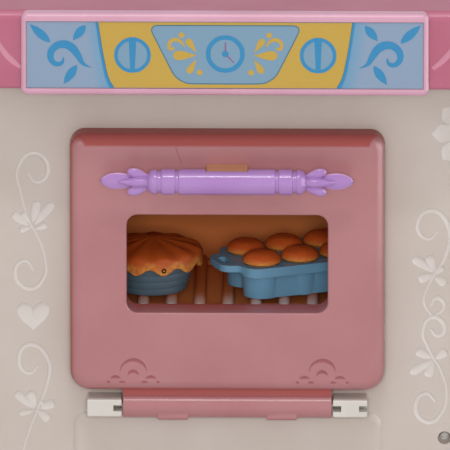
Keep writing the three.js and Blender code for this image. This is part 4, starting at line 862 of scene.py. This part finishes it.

# Oven rack. One moulding with round-topped bars from front to back, tied by a cross bar at
# each end, which lies on the liner's shelf.
# Its edge colour is the tub's orange light, painted on the rack away from the front.
rack_white = moulded_plastic(
    "rack_moulding", (236, 208, 196), (230, 198, 184), (244, 224, 216), 0.35,
    edge_colour=(196, 102, 54))
left, right, front, back, bottom, top = limits("oven_rack")
TIE_HEIGHT = 2.6
BAR_PITCH = 14.15
BAR_HALF = 3.1
rack = slab(left, right, front + 2, front + 6, bottom, bottom + TIE_HEIGHT, 0.4, upright=False)
bars = [slab(BAR_PITCH * step - BAR_HALF, BAR_PITCH * step + BAR_HALF, front, back, bottom, top,
             (0.3, 0.3, 2.4, 2.4), segments=5) for step in range(-5, 6)]
rack = join(rack, slab(left, right, back - 6, back - 2, bottom, bottom + TIE_HEIGHT), *bars)
long_edges = [edge for edge in rack.edges if edge.calc_length() > 50]
bmesh.ops.subdivide_edges(rack, edges=long_edges, cuts=11, use_grid_fill=True)


def shade_edge(bm, share):
    """Writes how much of its plastic's edge colour each vertex takes."""
    layer = bm.verts.layers.float.new("edge")
    for vert in bm.verts:
        vert[layer] = min(1, max(0, share(vert.co)))


def painted_tub_light(place):
    """Painted light: the tub's orange light is painted on all of the rack but the front ends of its
    bars.
    """
    low_bar = place.z < bottom + TIE_HEIGHT + 0.1 and place.y > front + 1
    return 1 if low_bar else (place.y - front) / 18


shade_edge(rack, painted_tub_light)
finish(rack, "rack_moulding", "cabinet", rack_white, "rack_plastic", "oven_rack")

# Pie. A ringed blue dish under a brown crust whose folds run out from the middle and hang
# over the rim in tips. A small ring shows under the tip in front.
dish_blue = moulded_plastic(
    "dish_moulding", (88, 110, 124), (80, 101, 115), (112, 136, 150), 0.6)
crust_brown = moulded_plastic(
    "crust_moulding", (196, 90, 28), (172, 72, 22), (206, 114, 48), 0.6, 0.2,
    edge_colour=(222, 158, 78), edge_grain=500.0)
eyelet_shade = moulded_plastic(
    "eyelet_shade", (58, 26, 12), (50, 22, 10), (70, 34, 16), 0.7)
left, right, front, back, bottom, top = limits("pie_dish")
pie_centre = ((left + right) / 2, (front + back) / 2)
dish_radius = (right - left) / 2
dish_height = top - bottom
DISH_RINGS = 5
DISH_FOOT = 16
dish_profile = [(0, bottom), (15.2, bottom)]
for ring in range(DISH_RINGS):
    low = bottom + dish_height * ring / DISH_RINGS
    radius = DISH_FOOT + (dish_radius - DISH_FOOT) * ((ring + 1) / DISH_RINGS) ** 0.8
    step = dish_height / DISH_RINGS
    dish_profile += [(radius - 0.55, low + 0.15), (radius - 0.3, low + 0.25 * step),
                     (radius - 0.15, low + 0.5 * step), (radius, low + 0.8 * step),
                     (radius - 0.25, low + 0.95 * step)]
dish_profile += [(dish_radius, top - 0.3), (dish_radius - 0.3, top), (dish_radius - 1.3, top),
                 (dish_radius - 1.6, top - 0.4), (14.4, bottom + 1.6), (0, bottom + 1.6)]
finish(turned(dish_profile, (*pie_centre, 0), 96), "pie_dish_moulding", "pie", dish_blue,
       "dish_plastic", "pie_dish")
rim = top + 0.3
left, right, front, back, bottom, crust_top = limits("pie_crust")
crust_radius = (right - left) / 2
FOLDS = 11
FOLD_DEPTH = 1.1
SKIRT = 3.4
TIP = 3.2
FRONT_TIP = 14.4  # degrees by which the tip with the ring is turned from the front
crust_profile = [(0, rim - 3.2), (18.3, rim - 3.2), (19.9, rim), (dish_radius + 0.9, rim),
                 (dish_radius + 0.9, rim - SKIRT), (crust_radius - 0.5, rim - SKIRT - 0.1),
                 (crust_radius, rim - SKIRT + 0.4), (crust_radius, rim - SKIRT / 2),
                 (crust_radius, rim)]
DOME_STEPS = 14
for index in range(1, DOME_STEPS + 1):
    way_in = index / DOME_STEPS
    crust_profile.append((crust_radius * (1 - way_in ** 1.6),
                          rim + (crust_top - rim) * way_in ** 0.6))
crust = turned(crust_profile, (0, 0, 0), FOLDS * 14)
for vert in crust.verts:
    reach = math.hypot(vert.co.x, vert.co.y)
    round_way = math.atan2(vert.co.y, vert.co.x) - math.radians(FRONT_TIP - 90)
    valley = (1 - math.cos(FOLDS * round_way)) / 2
    if reach > 21 and vert.co.z < rim:
        vert.co.z -= (1 - valley) * TIP * min(1, (rim - vert.co.z) / (SKIRT - 0.5))
    elif vert.co.z > rim + 0.3:
        vert.co.z -= valley * reach / crust_radius * FOLD_DEPTH
shift(crust, (*pie_centre, 0))
eyelet = carve(rod(1.3, -crust_radius - 1, -crust_radius + 1.1, 1, (0, 0), 24),
               rod(0.55, -crust_radius - 2, -crust_radius + 2, 1, (0, 0), 16))
tilt(eyelet, "Z", FRONT_TIP)
shift(eyelet, (*pie_centre, rim - 3.8))
crust = carve(crust, as_relief(eyelet))


# The crust turns lighter and yellower towards the foot of its skirt and its tips.
def yellower_skirt_foot(place):
    round_way = math.atan2(place.y - pie_centre[1], place.x - pie_centre[0])
    tip = (1 + math.cos(FOLDS * (round_way - math.radians(FRONT_TIP - 90)))) / 2 * TIP
    return 1.4 - (place.z - rim + SKIRT + tip) / 3.4


shade_edge(crust, yellower_skirt_foot)
finish(crust, "pie_crust_moulding", "pie", crust_brown, "crust_plastic", "pie_crust", sharp=60,
       relief_material=eyelet_shade)

# Muffin tin. A light blue plate with a turned-down lip, a handle with a slot at each end and
# six cups, with a muffin pressed into every cup.
TIN_TURN = math.radians(22)
TIN_CORNER_PLACE = (10.3, -31.6, 0)
TIN_LENGTH = 65.1
TIN_WIDTH = 45.9
TIN_CORNER = 8
TIN_WALL = 1.4
TIN_LIP = 4.8
HANDLE_REACH = 9
HANDLE_HALF = 12
HANDLE_SHEET = 3.4
FILLET = 4
CUP_PITCH = 20.6
CUP_ROW_PITCH = 22.0
CUP_INSET = 11.95
tin_blue = moulded_plastic(
    "tin_moulding", (110, 160, 190), (98, 148, 178), (146, 192, 216), 0.32)
# Its edge colour is the muffins' golden foot, lit from the front as painted light.
muffin_brown = moulded_plastic(
    "muffin_moulding", (214, 98, 36), (190, 80, 30), (222, 128, 56), 0.65, 0.6,
    edge_colour=(216, 156, 74), edge_grain=900.0)
left, right, front, back, bottom, top = limits("muffin_tin")
tin_place = Matrix.Translation(TIN_CORNER_PLACE) @ Matrix.Rotation(TIN_TURN, 4, "Z")
tin = carve(
    slab(0, TIN_LENGTH, 0, TIN_WIDTH, top - TIN_LIP, top, TIN_CORNER, upright=False, segments=8),
    slab(TIN_WALL, TIN_LENGTH - TIN_WALL, TIN_WALL, TIN_WIDTH - TIN_WALL, top - 6,
         top - TIN_WALL, TIN_CORNER - TIN_WALL, upright=False, segments=8))
middle = TIN_WIDTH / 2
tin_handles = []
for side in (-1, 1):
    edge_x = 0 if side < 0 else TIN_LENGTH
    corners = (6.3, 0, 0, 6.3) if side < 0 else (0, 6.3, 6.3, 0)
    tin_handles.append(slab(
        *sorted((edge_x - side * 3, edge_x + side * HANDLE_REACH)), middle - HANDLE_HALF,
        middle + HANDLE_HALF, top - HANDLE_SHEET, top, corners, upright=False))
    for way in (-1, 1):
        x, y = edge_x + side * FILLET, middle + way * (HANDLE_HALF + FILLET)
        fillet = slab(*sorted((edge_x - side, x)),
                      *sorted((middle + way * (HANDLE_HALF - 1), y)), top - HANDLE_SHEET, top,
                      upright=False)
        tin_handles.append(carve(fillet, rod(FILLET, top - 5, top + 1, 2, (x, y), 40)))
cup_places = [(CUP_INSET + column * CUP_PITCH, CUP_INSET + row * CUP_ROW_PITCH)
              for row in range(2) for column in range(3)]
cups = [rod(9.2, bottom, top - 0.5, 2, place, 40, 10.1) for place in cup_places]
walls = [slab(CUP_INSET, TIN_LENGTH - CUP_INSET, near, near + 1.2, bottom, top - 0.7,
              upright=False) for near in (3.75, TIN_WIDTH - 4.95)]
tin = join(tin, *tin_handles, *cups, *walls)
cup_hollows = [rod(8.0, bottom + 1.2, top + 1, 2, place, 40, 8.95) for place in cup_places]
tin_slots = [slab(x - 2.1, x + 2.1, middle - 5.5, middle + 5.5, top - 5, top + 1, 1.9,
                  upright=False) for x in (-3.8, TIN_LENGTH + 3.8)]
tin = carve(tin, *cup_hollows, *tin_slots)
bmesh.ops.transform(tin, matrix=tin_place, verts=tin.verts)
finish(tin, "muffin_tin_moulding", "tin", tin_blue, "tin_plastic", "muffin_tin")
MUFFIN_FOOT = 5
MUFFIN_RADIUS = 9.75


def golden_foot_front_light(place):
    """A muffin is golden low on its dome; the gold is full in front and gone behind, a painted
    light from the front.
    """
    front_light_share = 0.5 + 0.5 * (centre[1] - place.y) / MUFFIN_RADIUS
    return front_light_share * max(0, min(1, 1.2 - (place.z - foot) / 2.6))


for number in range(1, 7):
    left, right, front, back, bottom, top = limits(f"muffin_{number}")
    centre = ((left + right) / 2, (front + back) / 2)
    foot = bottom + MUFFIN_FOOT
    profile = [(0, bottom), (7.7, bottom), (7.7, foot), (MUFFIN_RADIUS - 0.9, foot)]
    for index in range(11):
        turn = math.pi / 2 * index / 10
        profile.append((MUFFIN_RADIUS * math.cos(turn) ** 0.75 if index < 10 else 0,
                        foot + 0.6 + (top - foot - 0.7) * math.sin(turn)))
    muffin = turned(profile, (*centre, 0), 48)
    for vert in muffin.verts:
        if vert.co.z > foot + 0.1:
            lift = noise.noise(vert.co * 0.22) * 0.35 + noise.noise(vert.co * 0.7) * 0.12
            vert.co.z = min(top, vert.co.z + lift * min(1, (vert.co.z - foot) / 2))
    shade_edge(muffin, golden_foot_front_light)
    finish(muffin, f"muffin_moulding_{number}", "tin", muffin_brown, "crust_plastic",
           f"muffin_{number}", sharp=60)

# Door, outer moulding. A hollow slab in dusky pink with a rounded edge, a sleeve round the
# window, two palm leaves sunk at its foot, and below it the barrel and two stops.
# The door's edge colour is painted shade on its rounded edge, round the window and on the neck.
door_pink = moulded_plastic(
    "door_moulding", (180, 124, 127), (174, 116, 119), (190, 136, 140), 0.24,
    edge_colour=(168, 88, 84))
# The palms' grooves and the flow line are painted a deeper red, a painted shade in them.
door_relief_shade = moulded_plastic(
    "door_relief_shade", (160, 93, 99), (154, 87, 93), (186, 132, 136), 0.3)
left, right, front, back, bottom, top = limits("door_outer")
DOOR_LOW, DOOR_HIGH = 69.0, 202.4
DOOR_HALF = 78.7
DOOR_BACK = -39.8
DOOR_EDGE = 6
WINDOW = (50.3, 110.3, 161.2, 5.5)
WINDOW_SLEEVE = -2
WINDOW_LIP = 1.1
DOOR_CORNERS = (10, 10, 7.5, 7.5)
door = slab(-DOOR_HALF, DOOR_HALF, front, DOOR_BACK, DOOR_LOW, DOOR_HIGH, DOOR_CORNERS,
            segments=12)
round_side(door, 1, front, DOOR_EDGE, 8)
hollow = slab(-DOOR_HALF + WALL, DOOR_HALF - WALL, front + WALL, DOOR_BACK + 1, DOOR_LOW + WALL,
              DOOR_HIGH - WALL, tuple(radius - WALL for radius in DOOR_CORNERS), segments=8)
round_side(hollow, 1, front + WALL, DOOR_EDGE - WALL)
door = carve(door, hollow)


def by_window(place, margin):
    half, foot, head, corner = WINDOW
    return abs(place.x) < half + margin and foot - margin < place.z < head + margin


door = join(door, about_middle(WINDOW, WINDOW_SLEEVE, front + 1.4, -42.1))
door = carve(door, about_middle(WINDOW, 0, front - 1, DOOR_BACK + 1))
lip = [edge for edge in edges_at(door, 1, front)
       if all(by_window(vert.co, 0.7) for vert in edge.verts)]
round_over(door, lip, WINDOW_LIP)
AXIS = axis_y, axis_z = -46.5, 60.0
BARREL_HALF = 52.4
NECK_HALF = 2.5
STOP_HALF = 7.7
PIN_HOLE = 1.15
barrel = rod(6.2, -BARREL_HALF, BARREL_HALF, 0, AXIS, 48)
for end in (-BARREL_HALF, BARREL_HALF):
    round_side(barrel, 0, end, 0.5, 2)
neck = slab(-BARREL_HALF, BARREL_HALF, axis_y - NECK_HALF, axis_y + NECK_HALF, axis_z + 4.3,
            DOOR_LOW + 1.2)
stops = []
for x in (-27.3, 27.3):
    fin = slab(x - STOP_HALF, x + STOP_HALF, axis_y - 2, axis_y + 2, bottom, axis_z - 2, 0.8)
    pad = slab(x - STOP_HALF, x + STOP_HALF, axis_y - 5.5, axis_y, axis_z - 5.7, axis_z - 2.3,
               0.6)
    stops += [fin, round_side(pad, 1, axis_y - 5.5, 0.5, 3)]
door = join(door, neck, barrel, *stops)


def arc(x, z, radius, first, last, points=7):
    """Points along a circle, from one angle to another, counted from the right."""
    turns = [math.radians(first + (last - first) * step / (points - 1)) for step in range(points)]
    return [(x + radius * math.cos(turn), z + radius * math.sin(turn)) for turn in turns]


palms = bmesh.new()
for x in (-47.1, 47.6):
    groove(palms, arc(x, 78.8, 6.8, 8, 172), (0.4, 1.2, 1.9, 2.0, 1.4, 0.8, 0.4), 0.45, front)
    groove(palms, arc(x, 76.8, 2.9, 20, 160), (0.4, 1.5, 2.0, 1.5, 0.4), 0.45, front)
    for side in (-1, 1):
        groove(palms, arc(x + side * 8.9, 72.4, 4.4, 55, 125), (0.5, 1.5, 1.8, 1.5, 0.5), 0.4,
               front)
        for reach, half in ((5.6, 1.7), (12.4, 0.9)):
            groove(palms, [(x + side * reach + way * half, 74.0) for way in (-1, -0.4, 0.4, 1)],
                   (0.5, 1.5, 1.5, 0.5), 0.35, front)
flow_line = ((-27.4, 199.5), (-26.1, 197.6), (-25.1, 194.5), (-22.4, 187.2))
groove(palms, flow_line, (0.3, 0.5, 0.5, 0.3), 0.06, front)
door = carve(door, as_relief(palms), rod(PIN_HOLE, -54, 54, 0, AXIS, 24))


def painted_edge_shade(place):
    """Painted shade: the rounded edge, the window's sleeve and the neck are painted a deeper,
    duller red, starting nearer the face on the left than on the right, from none at a first depth
    behind the door's face to all of it at a last one."""
    x, y, z = place
    if z < DOOR_LOW - 0.1:
        return 0.8 if z > axis_z + 5 and abs(y - axis_y) < NECK_HALF + 0.2 else 0
    first, last = (1.5, 3.5) if x < 0 else (3.5, 5.5)
    if by_window(place, WINDOW_LIP + 0.1):
        first, last = 0.9, 1.6
    elif z > DOOR_HIGH - DOOR_EDGE - 0.1:
        past_corner = min(1, max(0, (abs(x) - 71.3) / 4))
        first, last = first * past_corner, 0.1 + last * past_corner
    elif z < DOOR_LOW + DOOR_EDGE:
        past_corner = min(1, max(0, (abs(x) - 66) / 4))
        first, last = 0.2 + first * past_corner, 1.0 + last * past_corner
    return (y - front - first) / (last - first)


shade_edge(door, painted_edge_shade)
finish(door, "door_moulding", "door", door_pink, "door_plastic", "door_outer",
       relief_material=door_relief_shade)

# Door, inner frame. A shallow pan of the same plastic that closes the door's back and stands
# a little way into the opening, held by four screws.
left, right, front, back, bottom, top = limits("door_inner")
PLUG = (67.5, 80.2, 191.2, 6)  # what stands into the oven's opening
PLUG_WALL = 2
plate = slab(left, right, front, DOOR_BACK, bottom, top, (7.3, 7.3, 4.8, 4.8), segments=8)
inner_frame = carve(join(plate, about_middle(PLUG, 0, front, back)),
                    about_middle(PLUG, PLUG_WALL, front - 1, back - PLUG_WALL))
inner_frame = join(inner_frame, about_middle(WINDOW, WINDOW_SLEEVE, front, back))
inner_frame = carve(inner_frame, about_middle(WINDOW, 0, front - 1, back + 1))
# Round the window the sleeve takes the door's deeper red as painted shade.
shade_edge(inner_frame, lambda place: by_window(place, 0.1))
finish(inner_frame, "door_inner_moulding", "door", door_pink, "door_plastic", "door_inner")

# Door handle. A purple bar with turned grooves, a ring and a bead at each end, finished with
# a bud between leaves.
purple = moulded_plastic(
    "handle_moulding", (176, 136, 196), (168, 124, 188), (202, 172, 222), 0.16)
leaf_rim = moulded_plastic(
    "handle_leaf_rim", (206, 158, 200), (198, 148, 192), (220, 184, 220), 0.2)
handle_y, handle_z = -67.0, 182.2
BAR_RADIUS = 6.45
NECK_RADIUS = 5.45
BEAD_RADIUS = 6.3
BEAD_START, BEAD_LENGTH = 36.1, 4.3


def shoulder(x, way):
    """The rounded step from the bar down into a groove that starts at x."""
    steps = ((-0.6, BAR_RADIUS), (-0.2, BAR_RADIUS - 0.2), (0, BAR_RADIUS - 0.6),
             (0.1, NECK_RADIUS))
    return [(radius, x + way * reach) for reach, radius in steps][::way]


half_profile = [(BAR_RADIUS, 0), *shoulder(24.2, 1), *shoulder(25.8, -1), *shoulder(32.8, 1),
                (NECK_RADIUS, 34.9), (5.9, 34.9), (6.25, 35.1), (BEAD_RADIUS, BEAD_START)]
for step in range(1, 8):
    turn = math.pi / 2 * step / 8
    half_profile.append((BEAD_RADIUS * math.cos(turn), BEAD_START + BEAD_LENGTH * math.sin(turn)))
handle = turned(half_profile + [(0, BEAD_START + BEAD_LENGTH)], (0, 0, 0), 64)
bmesh.ops.delete(handle, geom=[vert for vert in handle.verts if vert.co.z < 0.001
                               and math.hypot(vert.co.x, vert.co.y) < 1], context="VERTS")
tilt(handle, "Y", 90)
bmesh.ops.mirror(handle, geom=handle.faces[:] + handle.edges[:] + handle.verts[:],
                 matrix=Matrix.Identity(4), merge_dist=0.001, axis="X")
face_outward(handle)


def leaf(length, half_width, half_thickness, fullness):
    """A leaf along +X; the more its fullness, the nearer to its tip it is widest."""
    profile = [(math.sin(math.pi * (step / 16) ** fullness) ** 0.6 if 0 < step < 16 else 0,
                step / 16 * length) for step in range(17)]
    bm = turned(profile, (0, 0, 0), 24)
    for face in bm.faces:
        middle = face.calc_center_median()
        face.material_index = int(abs(middle.y) < 0.5 * math.hypot(middle.x, middle.y))
    bmesh.ops.scale(bm, vec=(half_width, half_thickness, 1), verts=bm.verts)
    tilt(bm, "Y", 90)
    return bm


ends = []
for side in (-1, 1):
    bud = leaf(17, 2.7, 3.4, 0.6)
    for face in bud.faces:
        face.material_index = 0
    shift(bud, (37.8, 0, 0))
    rear = leaf(23.6, 4.35, 1.6, 1.5)
    shift(rear, (39.8, 1.6, 0))
    parts = [bud, rear]
    for way in (-1, 1):
        outer_leaf = leaf(12.2, 2.5, 1.8, 1.5)
        tilt(outer_leaf, "Y", -14 * way)
        shift(outer_leaf, (38.2, 0, 2.7 * way))
        parts.append(outer_leaf)
    if side < 0:
        for part in parts:
            bmesh.ops.scale(part, vec=(-1, 1, 1), verts=part.verts)
            bmesh.ops.reverse_faces(part, faces=part.faces)
    ends += parts
handle = join(handle, *ends)
TAB_SEAT = 10.7
handle = carve(handle, slab(-TAB_SEAT, TAB_SEAT, -2.1, 8, 3.3, 8),
               slab(-TAB_SEAT, TAB_SEAT, 5.25, 8, -8, 8))
shift(handle, (0, handle_y, handle_z))
finish(handle, "handle_moulding", "door", purple, "handle_plastic", "door_handle",
       relief_material=leaf_rim)

# Handle tab. A flat tan piece let into the top of the bar, whose lug two screws pull against
# the door from inside.
tan = moulded_plastic(
    "tab_moulding", (210, 152, 114), (202, 142, 102), (224, 174, 140), 0.45)
left, right, front, back, bottom, top = limits("handle_tab")
tab = slab(left, right, front + 1, back, top - 2.2, top, 1.0, upright=False)
round_side(tab, 2, top, 0.5, 3)
lug = slab(left, right, handle_y + 5.55, back, bottom, top - 1, 0.6)
finish(join(tab, lug), "tab_moulding", "door", tan, "tab_plastic", "handle_tab")

# Hinge knuckles and pin. White blocks screwed to the cabinet's face, slotted so that the
# steel pin shows where it runs into the door's barrel. The right one is slotted at both ends.
SLOT_REACH = 4.2
SLOT_HALF = 1.6
SLOT_BACK = 1.75
for name in ("left", "right"):
    left, right, front, back, bottom, top = limits(f"hinge_knuckle_{name}")
    knuckle = round_side(slab(left, right, front, back, bottom, top, 1), 1, front, 0.8, 3)
    spans = [(left - 1, left + SLOT_REACH), (right - SLOT_REACH, right + 1)]
    slots = [slab(start, end, front - 1, axis_y + SLOT_BACK, axis_z - SLOT_HALF, axis_z + SLOT_HALF)
             for start, end in (spans if name == "right" else spans[1:])]
    knuckle = carve(knuckle, *slots, rod(PIN_HOLE, left - 1, right + 1, 0, AXIS, 24))
    finish(knuckle, f"knuckle_moulding_{name}", "cabinet", white, "white_plastic",
           f"hinge_knuckle_{name}")

steel, steel_tree, steel_shader = new_material("bright_steel")
streaks = noise_on(steel_tree, object_place(steel_tree), 900.0, 3.0)
drawn = between(steel_tree, streaks, 0.3, 0.7)
fill(steel_tree, steel_shader, {
    "Base Color": blend_colours(steel_tree, drawn, paint(224, 222, 218), paint(200, 196, 190)),
    "Roughness": between(steel_tree, streaks, 0.3, 0.7, 0.22, 0.4),
    "Metallic": 0.7})
left, right, front, back, bottom, top = limits("hinge_pin")
pin = rod(1.0, left, right, 0, AXIS)
for end in (left, right):
    round_side(pin, 0, end, 0.3, 3)
finish(pin, "hinge_pin_rod", "cabinet", steel, "steel", "hinge_pin")

# Screws. Zinc-plated, with a low round head and a cross recess, all alike but for length.
HEAD_RADIUS = 2.7
HEAD_HEIGHT = 1.8
SHANK_RADIUS = 1.25
SHORTEST = 4
CROSS_HALF, CROSS_WIDTH = 1.7, 0.35
UP, BACK, FRONT_WAY = (2, 1), (1, 1), (1, -1)
screw_profile = [
    (0, -SHORTEST), (SHANK_RADIUS * 0.4, -3.5), (SHANK_RADIUS, -2), (SHANK_RADIUS, 0),
    (HEAD_RADIUS, 0), (HEAD_RADIUS, 0.5), (HEAD_RADIUS * 0.86, 1.3), (HEAD_RADIUS * 0.5, 1.7),
    (0, HEAD_HEIGHT)]
pattern = carve(turned(screw_profile, (0, 0, 0), 20),
                *[slab(-across, across, -along_it, along_it, 0.9, 3) for across, along_it in (
                    (CROSS_HALF, CROSS_WIDTH), (CROSS_WIDTH, CROSS_HALF))])


def screw(node, axis, way):
    """A screw in a CAD screw's box, pointing up or down an axis."""
    low, high = (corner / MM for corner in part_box(node))
    length = high[axis] - low[axis] - HEAD_HEIGHT
    bm = pattern.copy()
    for vert in bm.verts:
        if vert.co.z < -1:
            vert.co.z -= length - SHORTEST
    tilt(bm, "X", {UP: 180, BACK: 90, FRONT_WAY: -90}[(axis, way)])
    seat = [(low[index] + high[index]) / 2 for index in range(3)]
    seat[axis] = low[axis] + HEAD_HEIGHT if way > 0 else high[axis] - HEAD_HEIGHT
    shift(bm, seat)
    body = frame["nodes"][node]["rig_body"]
    finish(bm, node.replace("screw", "fixing"), body, steel, "steel", node)


for node in sorted(frame["nodes"]):
    if "_screw_" not in node:
        continue
    if node.startswith(("base", "worktop")):
        screw(node, *UP)
    elif node.startswith("front"):
        screw(node, *BACK)
    else:
        screw(node, *FRONT_WAY)
